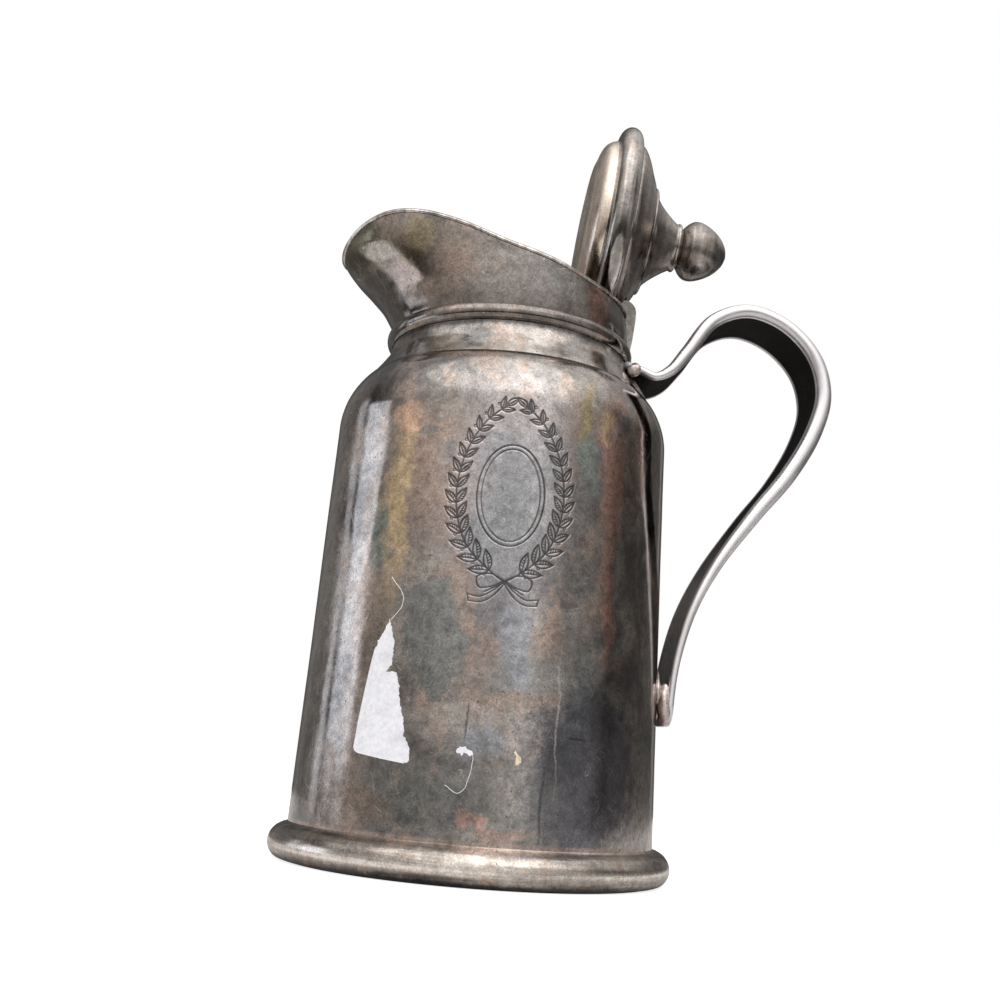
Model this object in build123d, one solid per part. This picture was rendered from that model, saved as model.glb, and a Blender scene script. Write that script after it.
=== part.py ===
"""Silver pitcher with a hinged lid: tapered body, helmet spout, strap handle.

Millimetres. The origin is the centre of the foot on the surface it stands on, +Z is up,
the spout points along -X and the handle along +X. The lid is drawn open, at its stop.
"""
from build123d import *
from math import atan2, cos, hypot, pi, radians, sin, sqrt
import os

os.makedirs("parts", exist_ok=True)

# Sheet metal and fits
wall = 1.0
run_gap = 0.06
side_gap = 0.3
lid_gap = 1.2

# Body
body_radius = 43.35
shoulder_narrowing = 2.0
shoulder_start = 103.6
shoulder_round = 18.3
shoulder_turn = 49.0
shoulder_height = 25.2
neck_radius = 30.4
neck_height = 4.7
base_rise = 2.8
shoulder_radius_start = body_radius - shoulder_narrowing
neck_top = shoulder_start + shoulder_height
neck_start = neck_top - neck_height

# Foot ring
foot_stand_out = 4.15
foot_bulge = 3.7
foot_height = 6.2
foot_slope = 2.1
foot_inner_lip = 2.55
ledge_height = 1.5
foot_radius = body_radius + foot_stand_out
foot_top = foot_height + foot_slope
foot_bore = body_radius - foot_inner_lip

# Bead round the neck
bead_radius = 2.45
bead_sink = 1.1
bead_centre_radius = neck_radius - bead_sink

# Collar and spout. Each section: height above the neck as a multiple of the collar's height at
# the back, then how far the spout, the sides and the back stand out beyond the neck's radius
collar_height = 11.9
collar_sections = [
    (0.22, 0.0, 0.0, 0.0),
    (0.47, 1.5, -0.1, -0.2),
    (0.80, 4.1, -0.2, -0.7),
    (1.12, 7.9, -0.3, -1.2),
    (1.45, 12.2, -0.4, -1.4),
    (1.78, 15.0, -0.4, -1.4),
    (2.12, 15.5, -0.4, -1.4),
    (2.54, 15.0, -0.6, -1.5),
]
back_rim_height = neck_top + collar_height

# Rim in the side view: distance ahead of the axis as a multiple of the neck's radius, and
# height above the neck as a multiple of the collar's height at the back
rim_line = [
    (-1.546, 1.689),
    (-1.447, 1.916),
    (-1.316, 2.134),
    (-1.118, 2.269),
    (-0.855, 2.202),
    (-0.526, 1.941),
    (-0.132, 1.546),
    (0.263, 1.269),
    (0.559, 1.076),
]
rim_flat_start = 0.79
rim_wire_stand_out = 0.5
rim_wire_height = 1.1

# Lid, drawn closed on its own axis; levels are measured up from the lid's base level
lid_axis_x = -1.0
lid_rise = 3.6
open_angle = 95.7
flange_stand_out = 3.9
flange_axis_out = 0.6
flange_centre = -2.7
flange_half_height = 2.9
skirt_bottom = -6.0
dome_edge = 0.6
dome_mid_in = 3.6
dome_mid_level = 3.4
step_in = 9.9
step_level = 6.5
step_height = 0.6
step_ledge = 1.0
ogee_fullness = 0.417
ogee_mid_level = 10.4
crown_radius = 6.2
crown_edge_level = 14.4
crown_bead_radius = 0.6
crown_level = 15.6
crown_neck_radius = 5.0
pan_depth = -10.9
pan_flat_in = 7.3
pan_corner_in = 1.7
pan_corner_level = -8.9
lid_level = back_rim_height + lid_rise
flange_reach = neck_radius - wall - lid_gap
skirt_radius = flange_reach - flange_stand_out
flange_centre_radius = skirt_radius + flange_axis_out
step_radius = skirt_radius - step_in

# Finial
knob_radius = 7.9
knob_widest = 20.2
knob_low_radius = 7.0
knob_low_level = 17.6
knob_high_radius = 6.7
knob_high_level = 23.9
knob_top = 28.8
stud_radius = 1.5
stud_depth_in_knob = 5.0
washer_radius = 4.0
washer_thickness = 0.5
nut_across_flats = 5.5
nut_height = 2.4
stud_end = 0.8

# Hinge
pin_inset = 7.9
pin_rise = 1.1
pin_radius = 0.9
pin_stand_out = 0.25
barrel_radius = 1.8
hinge_width = 13.0
centre_knuckle_width = 4.6
leaf_length = 4.2
leaf_half_height = 1.4
arm_rise = 3.8
arm_nose = 3.4
plate_stand_out = 1.2
plate_foot_stand_out = 0.25
plate_foot_rise = 2.3
plate_waist_stand_out = 0.65
plate_waist_rise = 4.8
plate_shoulder = 1.5
pocket_side_gap = 0.5
pocket_wall = 0.8
pin_x = neck_radius - pin_inset
pin_z = back_rim_height + pin_rise
arm_top = back_rim_height + arm_rise
back_plate_face = neck_radius + plate_stand_out
back_plate_bottom = neck_top + plate_foot_rise

# Tabs that the closed lid rests on
tab_length = 5.0
tab_width = 2.6
tab_thickness = 1.4

# Handle. Each point of the centre line: distance out from a straight line between the wall
# and the neck, height as a share of the rise from the handle's foot to the neck's top, thickness
handle_width = 19.0
handle_foot = 36.8
handle_line = [
    (1.5, 0.0, 1.7),
    (2.8, 0.078, 1.8),
    (5.1, 0.176, 1.9),
    (10.0, 0.307, 2.3),
    (17.1, 0.432, 2.8),
    (28.6, 0.585, 3.7),
    (38.4, 0.704, 4.2),
    (46.4, 0.835, 4.3),
    (50.1, 0.943, 4.1),
    (48.2, 1.05, 3.7),
    (40.2, 1.137, 3.5),
    (30.4, 1.168, 3.6),
    (21.4, 1.129, 3.6),
    (14.8, 1.028, 3.5),
    (10.2, 0.968, 2.8),
    (6.1, 0.947, 2.1),
    (2.5, 0.961, 1.9),
    (-3.0, 0.983, 1.9),
]
edge_share = 0.45
edge_band = 3.2
channel_depth = 0.8
tip_round = 5.0
lower_pad_rise = 7.5
lower_pad_half_height = 9.6
lower_pad_border = 1.5
lower_pad_thickness = 1.7
upper_pad_drop = 5.0
upper_pad_rise = 1.3
upper_pad_inset = 4.5
upper_pad_thickness = 1.6


def export(name, shape):
    """Write one sub-part."""
    shape.label = name
    export_step(shape, f"parts/{name}.step")


def revolved(*edges):
    """Solid of revolution about Z from edges drawn in the XZ plane."""
    with BuildPart() as part:
        with BuildSketch(Plane.XZ):
            with BuildLine():
                for edge in edges:
                    add(edge)
            make_face()
        revolve(axis=Axis.Z)
    return part.part.solid()


def box(x_range, y_range, z_range):
    """Axis-aligned block from its three ranges."""
    size = [b - a for a, b in (x_range, y_range, z_range)]
    centre = [(a + b) / 2 for a, b in (x_range, y_range, z_range)]
    return Pos(*centre) * Box(*size)


def cylinder_y(x, z, radius, y_range):
    """Cylinder along Y."""
    length = y_range[1] - y_range[0]
    middle = (y_range[0] + y_range[1]) / 2
    return Pos(x, middle, z) * Rot(90, 0, 0) * Cylinder(radius, length)


def body_radius_at(z):
    """Outer radius of the tapered wall at a height."""
    slope = (body_radius - shoulder_radius_start) / (shoulder_start - ledge_height)
    return body_radius - slope * (z - ledge_height)


def body_outline(offset=0.0):
    """Outer edge of the body from the ledge to the neck's top, moved outwards by offset."""
    turn = radians(shoulder_turn)
    centre = shoulder_radius_start - shoulder_round
    radius = shoulder_round + offset
    arc_mid = (centre + radius * cos(turn / 2), shoulder_start + radius * sin(turn / 2))
    arc_end = (centre + radius * cos(turn), shoulder_start + radius * sin(turn))
    low = (body_radius + offset, ledge_height)
    high = (shoulder_radius_start + offset, shoulder_start)
    neck_low = (neck_radius + offset, neck_start + offset * 0.45)
    neck_high = (neck_radius + offset, neck_top)
    return [
        Line(low, high),
        ThreePointArc(high, arc_mid, arc_end),
        Line(arc_end, neck_low),
        Line(neck_low, neck_high),
    ]


def shell_between(inner_offset, outer_offset):
    """Body of revolution between two offsets of the body's outline."""
    inner = body_outline(inner_offset)
    outer = body_outline(outer_offset)
    floor = Line(inner[0] @ 0, outer[0] @ 0)
    top = Line(inner[-1] @ 1, outer[-1] @ 1)
    return revolved(*inner, *outer, floor, top)


# Body, base and foot
body_shell = shell_between(-wall, 0.0)

outline = body_outline()
body_filled = revolved(
    *outline,
    Line((0, ledge_height), outline[0] @ 0),
    Line((0, ledge_height), (0, neck_top)),
    Line((0, neck_top), outline[-1] @ 1),
)

base_edge = body_radius_at(ledge_height) - wall
base_top_edge = body_radius_at(ledge_height + wall) - wall
base_under = TangentArc((0, ledge_height + base_rise), (base_edge, ledge_height), tangent=(1, 0))
base_over = TangentArc(
    (0, ledge_height + base_rise + wall),
    (base_top_edge, ledge_height + wall),
    tangent=(1, 0),
)
base_plate = revolved(
    base_under,
    base_over,
    Line(base_under @ 0, base_over @ 0),
    Line(base_under @ 1, base_over @ 1),
)

foot_centre = foot_radius - foot_bulge
foot_half = foot_height / 2
foot_shoulder = radians(62)
foot_ring = revolved(
    Line((foot_bore, 0), (foot_centre, 0)),
    ThreePointArc(
        (foot_centre, 0),
        (foot_centre + foot_bulge * cos(pi / 4), foot_half * (1 - sin(pi / 4))),
        (foot_radius, foot_half),
    ),
    ThreePointArc(
        (foot_radius, foot_half),
        (foot_centre + foot_bulge * cos(foot_shoulder / 2), foot_half * (1 + sin(foot_shoulder / 2))),
        (foot_centre + foot_bulge * cos(foot_shoulder), foot_half * (1 + sin(foot_shoulder))),
    ),
    Line(
        (foot_centre + foot_bulge * cos(foot_shoulder), foot_half * (1 + sin(foot_shoulder))),
        (body_radius_at(foot_top), foot_top),
    ),
    Line((body_radius_at(foot_top), foot_top), (body_radius, ledge_height)),
    Line((body_radius, ledge_height), (foot_bore, ledge_height)),
    Line((foot_bore, ledge_height), (foot_bore, 0)),
)

bead_half = sqrt(bead_radius**2 - (neck_radius - bead_centre_radius) ** 2)
neck_bead = revolved(
    ThreePointArc(
        (neck_radius, neck_top - bead_half),
        (bead_centre_radius + bead_radius, neck_top),
        (neck_radius, neck_top + bead_half),
    ),
    Line((neck_radius, neck_top + bead_half), (neck_radius, neck_top - bead_half)),
)


# Collar with its spout
def collar_wire(z, reach, half_width, back):
    """Closed outline of the collar at a height: a long half ellipse ahead, a short one behind."""
    with BuildLine(Plane.XY.offset(z)) as line:
        EllipticalCenterArc((0, 0), reach, half_width, start_angle=90, arc_size=180)
        EllipticalCenterArc((0, 0), back, half_width, start_angle=-90, arc_size=180)
    return make_face(line.edges()).face()


def collar_block(offset):
    """Solid block with the collar's outline, moved outwards by offset."""
    base = neck_radius + offset
    ring_height = collar_sections[0][0] * collar_height
    ring = Pos(0, 0, neck_top + ring_height / 2) * Cylinder(base, ring_height)
    faces = []
    for share, ahead, beside, behind in collar_sections:
        z = neck_top + share * collar_height
        faces.append(collar_wire(z, base + ahead, base + beside, base + behind))
    return (ring + loft(faces)).solid()


def rim_cutter():
    """Everything above the rim, whose height follows one curve in the side view."""
    top = neck_top + collar_height * (collar_sections[-1][0] + 0.5)
    far = 2 * neck_radius
    line = [(x * neck_radius, neck_top + share * collar_height) for x, share in rim_line]
    end = (rim_flat_start * neck_radius, back_rim_height)
    with BuildPart() as part:
        with BuildSketch(Plane.XZ):
            with BuildLine():
                Spline(*line, end, tangents=((1, 1.1), (1, 0)))
                Line(end, (far, back_rim_height))
                Line((far, back_rim_height), (far, top))
                Line((far, top), (-far, top))
                Line((-far, top), (-far, line[0][1]))
                Line((-far, line[0][1]), line[0])
            make_face()
        extrude(amount=2 * neck_radius, both=True)
    return part.part.solid()


collar_outer = collar_block(0.0)
collar_inner = collar_block(-wall)
cutter = rim_cutter()
spout_collar = (collar_outer - collar_inner - cutter).solid()
rim_skin = collar_block(rim_wire_stand_out) - collar_outer - cutter
rim_skin = rim_skin & (Pos(0, 0, -rim_wire_height) * cutter)
hinge_strip = box(
    (pin_x, back_plate_face + 1),
    (-hinge_width / 2, hinge_width / 2),
    (back_plate_bottom, arm_top),
)
rim_wire = (rim_skin - hinge_strip).solid()


# Lid, built closed and then turned to its open stop about the pin
def lid_point(radius, level):
    """Point of the lid's profile in the plane that holds its axis."""
    return (radius, lid_level + level)


def lid_turned(*edges):
    """Solid of revolution about the lid's own axis."""
    return Pos(lid_axis_x, 0, 0) * revolved(*edges)


def opened(shape):
    """Turn a lid piece from closed to its open stop."""
    return shape.rotate(Axis((pin_x, 0, pin_z), (0, 1, 0)), open_angle)


def dome_edges(inset):
    """Upper outline of the lid, from the skirt up to the crown, moved inwards by inset."""
    edge = lid_point(skirt_radius - inset, dome_edge - inset * 0.55)
    mid = lid_point(skirt_radius - dome_mid_in - inset * 0.45, dome_mid_level - inset)
    step = lid_point(step_radius - inset * 0.3, step_level - inset)
    ledge = step_radius - step_ledge
    ledge_level = step_level + step_height
    rise = lid_point(step_radius - step_ledge / 2 - inset * 0.3, ledge_level - inset)
    ogee_low = lid_point(ledge - inset * 0.6, ledge_level - inset * 0.8)
    ogee_radius = crown_radius + ogee_fullness * (ledge - crown_radius)
    ogee_half = lid_point(ogee_radius - inset * 0.8, ogee_mid_level - inset * 0.7)
    ogee_high = lid_point(crown_radius - inset, crown_edge_level - inset * 0.4)
    return [
        ThreePointArc(edge, mid, step),
        Line(step, rise),
        Line(rise, ogee_low),
        ThreePointArc(ogee_low, ogee_half, ogee_high),
    ]


dome_out = dome_edges(0.0)
dome_in = dome_edges(wall)
skirt_low_out = lid_point(skirt_radius, skirt_bottom)
skirt_low_in = lid_point(skirt_radius - wall, skirt_bottom)
crown_out = dome_out[-1] @ 1
crown_in = dome_in[-1] @ 1
crown_bulge = lid_point(
    crown_radius + crown_bead_radius * 0.4,
    (crown_edge_level + crown_level) / 2,
)
crown_edge = lid_point(crown_neck_radius, crown_level)
crown_under = lid_point(crown_in.X, crown_edge_level)
lid_shell_closed = lid_turned(
    Line(skirt_low_in, skirt_low_out),
    Line(skirt_low_out, dome_out[0] @ 0),
    *dome_out,
    ThreePointArc(crown_out, crown_bulge, crown_edge),
    Line(crown_edge, lid_point(stud_radius, crown_level)),
    Line(lid_point(stud_radius, crown_level), lid_point(stud_radius, crown_edge_level)),
    Line(lid_point(stud_radius, crown_edge_level), crown_under),
    Line(crown_under, crown_in),
    *dome_in,
    Line(dome_in[0] @ 0, skirt_low_in),
)

flange_bottom = flange_centre - flange_half_height
flange_top = flange_centre + flange_half_height
flange_low = lid_point(skirt_radius, flange_bottom)
flange_high = lid_point(skirt_radius, flange_top)
flange_ring_closed = lid_turned(
    Line(flange_low, lid_point(flange_centre_radius, flange_bottom)),
    ThreePointArc(
        lid_point(flange_centre_radius, flange_bottom),
        lid_point(flange_reach, flange_centre),
        lid_point(flange_centre_radius, flange_top),
    ),
    Line(lid_point(flange_centre_radius, flange_top), flange_high),
    Line(flange_high, flange_low),
)

pan_edge_out = lid_point(skirt_radius - 0.2, skirt_bottom)
pan_edge_in = lid_point(skirt_radius - 0.2 - wall, skirt_bottom)
pan_low_out = lid_point(skirt_radius - pan_flat_in, pan_depth + 0.5)
pan_low_in = lid_point(skirt_radius - pan_flat_in, pan_depth + 0.5 + wall)
pan_bend_out = lid_point(skirt_radius - pan_corner_in, pan_corner_level)
pan_bend_in = lid_point(skirt_radius - pan_corner_in - 0.8 * wall, pan_corner_level + 0.75 * wall)
pan_centre = lid_point(0, pan_depth)
pan_centre_in = lid_point(0, pan_depth + wall)
lid_pan_closed = lid_turned(
    ThreePointArc(pan_edge_out, pan_bend_out, pan_low_out),
    Line(pan_low_out, pan_centre),
    Line(pan_centre, pan_centre_in),
    Line(pan_centre_in, pan_low_in),
    ThreePointArc(pan_low_in, pan_bend_in, pan_edge_in),
    Line(pan_edge_in, pan_edge_out),
)

lid_inside = lid_turned(
    Line(lid_point(0, skirt_bottom), skirt_low_in),
    Line(skirt_low_in, dome_in[0] @ 0),
    *dome_in,
    Line(crown_in, lid_point(0, crown_in.Y)),
    Line(lid_point(0, crown_in.Y), lid_point(0, skirt_bottom)),
)

# Pocket in the lid's back edge, which leaves room for the hinge
pocket_half = hinge_width / 2 + pocket_side_gap
pocket_x = pin_x - leaf_length
pocket_floor = lid_level + skirt_bottom + pocket_wall
high = lid_level + knob_top
notch = box((pocket_x, foot_radius), (-pocket_half, pocket_half), (lid_level + skirt_bottom, high))
lid_shell_closed = (lid_shell_closed - notch).solid()
flange_ring_closed = (flange_ring_closed - notch).solid()

liner_outside = box(
    (pocket_x - pocket_wall, foot_radius),
    (-pocket_half - pocket_wall, pocket_half + pocket_wall),
    (pocket_floor - pocket_wall, high),
)
liner_inside = box((pocket_x, foot_radius), (-pocket_half, pocket_half), (pocket_floor, high))
hinge_pocket_closed = ((liner_outside - liner_inside) & lid_inside).solid()

# Knob with its stud, washer and nut
knob_closed = lid_turned(
    Line(lid_point(stud_radius, crown_level), lid_point(crown_neck_radius, crown_level)),
    Spline(
        lid_point(crown_neck_radius, crown_level),
        lid_point(knob_low_radius, knob_low_level),
        lid_point(knob_radius, knob_widest),
        lid_point(knob_high_radius, knob_high_level),
        lid_point(0, knob_top),
        tangents=((1, 0.9), (-1, 0)),
    ),
    Line(lid_point(0, knob_top), lid_point(0, crown_level + stud_depth_in_knob)),
    Line(
        lid_point(0, crown_level + stud_depth_in_knob),
        lid_point(stud_radius, crown_level + stud_depth_in_knob),
    ),
    Line(
        lid_point(stud_radius, crown_level + stud_depth_in_knob),
        lid_point(stud_radius, crown_level),
    ),
)
washer_top = lid_level + crown_edge_level
nut_top = washer_top - washer_thickness
stud_bottom = nut_top - nut_height - stud_end
stud_top = lid_level + crown_level + stud_depth_in_knob
lid_axis = Pos(lid_axis_x, 0, 0)
stud_closed = lid_axis * Pos(0, 0, (stud_bottom + stud_top) / 2) * Cylinder(
    stud_radius, stud_top - stud_bottom
)
washer_closed = lid_axis * Pos(0, 0, washer_top - washer_thickness / 2) * (
    Cylinder(washer_radius, washer_thickness) - Cylinder(stud_radius, washer_thickness)
)
with BuildPart() as nut_part:
    with BuildSketch(Plane.XY.offset(nut_top - nut_height)):
        RegularPolygon(nut_across_flats / 2, 6, major_radius=False)
        Circle(stud_radius, mode=Mode.SUBTRACT)
    extrude(amount=nut_height)
nut_closed = lid_axis * nut_part.part

# Hinge: plate and arms on the collar, leaf and knuckle on the lid, one pin
half_hinge = hinge_width / 2
with BuildPart() as plate_part:
    with BuildSketch(Plane.XZ):
        Polygon(
            (pin_x, back_plate_bottom),
            (neck_radius + plate_foot_stand_out, back_plate_bottom),
            (neck_radius + plate_waist_stand_out, neck_top + plate_waist_rise),
            (back_plate_face, back_rim_height - plate_shoulder),
            (back_plate_face, back_rim_height),
            (pin_x, back_rim_height),
            align=None,
        )
    extrude(amount=half_hinge, both=True)
hinge_back_plate = (plate_part.part - collar_outer).solid()

with BuildPart() as arm_part:
    with BuildSketch(Plane.XZ):
        with BuildLine():
            Line((pin_x, pin_z + barrel_radius), (back_plate_face - arm_nose, arm_top))
            ThreePointArc(
                (back_plate_face - arm_nose, arm_top),
                (back_plate_face - arm_nose * 0.265, arm_top - arm_rise * 0.265),
                (back_plate_face, back_rim_height),
            )
            Line((back_plate_face, back_rim_height), (pin_x, back_rim_height))
            Line((pin_x, back_rim_height), (pin_x, pin_z + barrel_radius))
        make_face()
    extrude(amount=half_hinge, both=True)
knuckle_gap = centre_knuckle_width / 2 + side_gap
arms = arm_part.part + cylinder_y(pin_x, pin_z, barrel_radius, (-half_hinge, half_hinge))
arms = arms - cylinder_y(pin_x, pin_z, pin_radius, (-half_hinge, half_hinge))
arms = arms - box((0, back_plate_face + 1), (-knuckle_gap, knuckle_gap), (neck_top, 2 * arm_top))
hinge_arms = Compound(children=list(arms.solids()))

half_centre = centre_knuckle_width / 2
leaf = box(
    (pocket_x, pin_x),
    (-half_centre, half_centre),
    (pin_z - leaf_half_height, pin_z + leaf_half_height),
)
leaf = leaf + cylinder_y(pin_x, pin_z, barrel_radius, (-half_centre, half_centre))
leaf_bore = cylinder_y(pin_x, pin_z, pin_radius + run_gap, (-half_centre, half_centre))
lid_leaf_closed = (leaf - leaf_bore).solid()

pin_end = half_hinge + pin_stand_out
hinge_pin = cylinder_y(pin_x, pin_z, pin_radius, (-pin_end, pin_end))


# Handle: a strap between two curves, one each side of its centre line
def handle_centre():
    """Centre line of the strap as (x, z, thickness)."""
    points = []
    for out, share, thickness in handle_line:
        seat = body_radius + (neck_radius - body_radius) * min(share, 1)
        points.append((seat + out, handle_foot + share * (neck_top - handle_foot), thickness))
    return points


def strap_side(side, extra=0.0):
    """Points beside the centre line, half the strap's thickness away, plus extra."""
    points = []
    centre = handle_centre()
    last = len(centre) - 1
    for i, (x, z, thickness) in enumerate(centre):
        before = centre[max(i - 1, 0)]
        after = centre[min(i + 1, last)]
        run = (after[0] - before[0], after[1] - before[1])
        length = hypot(*run)
        away = side * (thickness / 2 + extra)
        points.append((x + away * run[1] / length, z - away * run[0] / length))
    return points


def strap_solid(near, far, width):
    """Extruded strip between two lists of points."""
    with BuildPart() as part:
        with BuildSketch(Plane.XZ):
            with BuildLine():
                Spline(*near)
                Spline(*far)
                Line(near[0], far[0])
                Line(near[-1], far[-1])
            make_face()
        extrude(amount=width / 2, both=True)
    return part.part


outer_side = strap_side(1)
inner_side = strap_side(-1)
strap = strap_solid(outer_side, inner_side, handle_width)
long_edges = strap.edges().sort_by(SortBy.LENGTH)[-4:]
thinnest = min(thickness for _, _, thickness in handle_line)
strap = fillet(long_edges, edge_share * thinnest)
channel_floor = strap_side(-1, -channel_depth)
channel_mouth = strap_side(-1, 2.0)
channel = strap_solid(channel_floor[2:-4], channel_mouth[2:-4], handle_width - 2 * edge_band)
strap = strap - channel
tip = handle_centre()[0]
tip_box = box(
    (tip[0] - 5, tip[0] + 5),
    (-handle_width, handle_width),
    (tip[1] - 5, tip[1] + tip_round),
)
with BuildPart() as tip_part:
    with BuildSketch(Plane.YZ):
        with Locations((0, tip[1] + tip_round + handle_width)):
            RectangleRounded(handle_width, 2 * (tip_round + handle_width), tip_round)
    extrude(amount=foot_radius + 5)
tip_keep = tip_part.part
strap = strap - (tip_box - tip_keep)
strap = strap - body_filled - neck_bead
handle_strap = strap.solids().sort_by(SortBy.VOLUME)[-1]

pad_block = shell_between(0.0, lower_pad_thickness)
with BuildPart() as oval_part:
    with BuildSketch(Plane.YZ):
        with Locations((0, handle_foot + lower_pad_rise)):
            Ellipse(handle_width / 2 + lower_pad_border, lower_pad_half_height)
    extrude(amount=foot_radius + 5)
lower_pad = (pad_block & oval_part.part) - handle_strap
handle_lower_pad = lower_pad.solids().sort_by(SortBy.VOLUME)[-1]

upper_block = shell_between(0.0, upper_pad_thickness) & box(
    (0, foot_radius),
    (upper_pad_inset - handle_width / 2, handle_width / 2 - upper_pad_inset),
    (neck_start - upper_pad_drop, neck_start + upper_pad_rise),
)
upper_pad = upper_block - handle_strap
handle_upper_pad = upper_pad.solids().sort_by(SortBy.VOLUME)[-1]

# Two tabs inside the collar, just under the closed lid's flange
tab_top = lid_level + flange_bottom - side_gap
tabs = []
for side in (-1, 1):
    edge = side * (neck_radius + 1)
    inward = side * (neck_radius - wall - tab_width)
    block = box(
        (lid_axis_x - tab_length / 2, lid_axis_x + tab_length / 2),
        (min(edge, inward), max(edge, inward)),
        (tab_top - tab_thickness, tab_top),
    )
    tabs.append((block & collar_inner).solid())
lid_rest_tabs = Compound(children=tabs)

# Everything that turns with the lid, in the open position
pieces = {
    "body_shell": body_shell,
    "base_plate": base_plate,
    "foot_ring": foot_ring,
    "neck_bead": neck_bead,
    "spout_collar": spout_collar,
    "rim_wire": rim_wire,
    "lid_rest_tabs": lid_rest_tabs,
    "hinge_back_plate": hinge_back_plate,
    "hinge_arms": hinge_arms,
    "hinge_pin": hinge_pin,
    "handle_strap": handle_strap,
    "handle_upper_pad": handle_upper_pad,
    "handle_lower_pad": handle_lower_pad,
    "lid_shell": opened(lid_shell_closed),
    "lid_flange_ring": opened(flange_ring_closed),
    "lid_pan": opened(lid_pan_closed),
    "lid_hinge_pocket": opened(hinge_pocket_closed),
    "lid_hinge_leaf": opened(lid_leaf_closed),
    "finial_knob": opened(knob_closed),
    "finial_stud": opened(stud_closed),
    "finial_washer": opened(washer_closed),
    "finial_nut": opened(nut_closed),
}
for name, shape in pieces.items():
    export(name, shape)
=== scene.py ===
"""Looks of the silver pitcher: smooth metal forms, engraving, tarnish, a torn paper sticker."""

import math

import bmesh
import bpy
import numpy as np
from mathutils import Matrix, Vector
from mathutils.geometry import delaunay_2d_cdt


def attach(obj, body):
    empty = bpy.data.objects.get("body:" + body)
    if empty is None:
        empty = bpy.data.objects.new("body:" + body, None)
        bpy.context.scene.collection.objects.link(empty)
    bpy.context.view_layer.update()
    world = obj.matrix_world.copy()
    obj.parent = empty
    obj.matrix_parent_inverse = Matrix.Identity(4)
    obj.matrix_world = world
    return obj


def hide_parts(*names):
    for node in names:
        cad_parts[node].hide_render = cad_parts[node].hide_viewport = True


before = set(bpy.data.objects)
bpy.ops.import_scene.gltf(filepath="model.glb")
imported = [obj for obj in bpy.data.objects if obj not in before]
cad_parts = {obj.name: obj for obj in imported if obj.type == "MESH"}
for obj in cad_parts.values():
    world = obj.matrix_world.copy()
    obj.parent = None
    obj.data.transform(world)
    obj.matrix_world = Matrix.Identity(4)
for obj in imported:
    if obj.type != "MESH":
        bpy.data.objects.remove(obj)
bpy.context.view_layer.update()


# Sizes in millimetres, in the frame's own axes
MM = 0.001
WALL = 1.0
SHARP = math.radians(40)

FOOT_RADIUS = 47.5
FOOT_BULGE = 3.7
FOOT_TOP = 8.3
FOOT_BORE = 40.8
LEDGE = 1.5

BODY_RADIUS = 43.35
SHOULDER_START_RADIUS = 41.35
SHOULDER_START = 103.6
SHOULDER_ROUND = 18.3
SHOULDER_TURN = math.radians(49.0)
NECK_RADIUS = 30.4
NECK_TOP = 128.8
UNROLL_RADIUS = 42.0

BEAD_RADIUS = 2.45
BEAD_CENTRE_RADIUS = 29.3

# Collar: height, reach of the spout, half width, reach of the back
COLLAR_SECTIONS = np.array([
    (128.8, 29.6, 29.6, 29.6),
    (131.4, 30.2, 30.1, 30.1),
    (134.4, 31.9, 30.3, 30.2),
    (138.3, 34.5, 30.2, 29.7),
    (142.1, 38.3, 30.1, 29.2),
    (146.1, 42.6, 30.0, 29.0),
    (150.0, 45.4, 30.0, 29.0),
    (154.0, 45.9, 30.0, 29.0),
    (159.0, 45.4, 29.8, 28.9),
])
RIM_LINE = np.array([
    (-47.0, 148.9), (-44.0, 151.6), (-40.0, 154.2), (-34.0, 155.8), (-26.0, 155.0),
    (-16.0, 151.9), (-4.0, 147.2), (8.0, 143.9), (17.0, 141.6), (24.0, 140.7), (40.0, 140.7),
])
RIM_ROUND = 0.45
COLLAR_FOOT = 128.2
HINGE_GAP_HALF = 6.6
RIM_BACK_RADIUS = 29.5

# Section of the rim's wire: stand-out and height from the rim
RIM_WIRE_SECTION = [
    (-0.25, -0.1), (0.15, 0.0), (0.42, -0.3), (0.5, -0.6), (0.42, -0.9), (0.0, -1.1),
    (-0.25, -0.9),
]

# Lid, closed on its own axis and then turned open about the pin
LID_AXIS_X = -1.0
LID_LEVEL = 144.3
OPEN_ANGLE = math.radians(95.7)
PIN = (22.5, 141.8)
POCKET_RADIUS = 19.3
POCKET_HALF = 7.0
POCKET_FLOOR = -6.0
CUTTER_SIZE = (14, 40)

# Handle: centre line in the plane y = 0, with the strap's thickness
HANDLE_WIDTH = 19.0
HANDLE_LINE = np.array([
    (44.9, 36.8, 1.7), (45.1, 44.0, 1.8), (46.2, 53.0, 1.9), (49.4, 65.0, 2.3),
    (54.9, 76.5, 2.8), (64.4, 90.6, 3.7), (72.6, 101.6, 4.2), (78.9, 113.6, 4.3),
    (81.2, 123.6, 4.1), (78.6, 133.4, 3.7), (70.6, 141.4, 3.5), (60.8, 144.3, 3.6),
    (51.8, 140.7, 3.6), (45.2, 131.4, 3.5), (41.0, 125.9, 2.8), (37.2, 123.9, 2.1),
    (33.4, 125.2, 1.9), (30.4, 126.3, 1.9),
])
TIP_ROUND = 5.0
CHANNEL_DEPTH = 0.7
SCROLL_SHARE = 0.045
PAD_HALF_WIDTH = 9.4
PAD_HALF_HEIGHT = 6.2
PAD_LEVEL = 44.2

# Section of the lower pad: share of its half sizes and lift from the wall
PAD_SECTION = [
    (1.0, -0.1), (1.0, 0.45), (0.97, 0.85), (0.91, 1.12), (0.8, 1.25), (0.5, 1.3), (0.02, 1.3),
]

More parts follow.
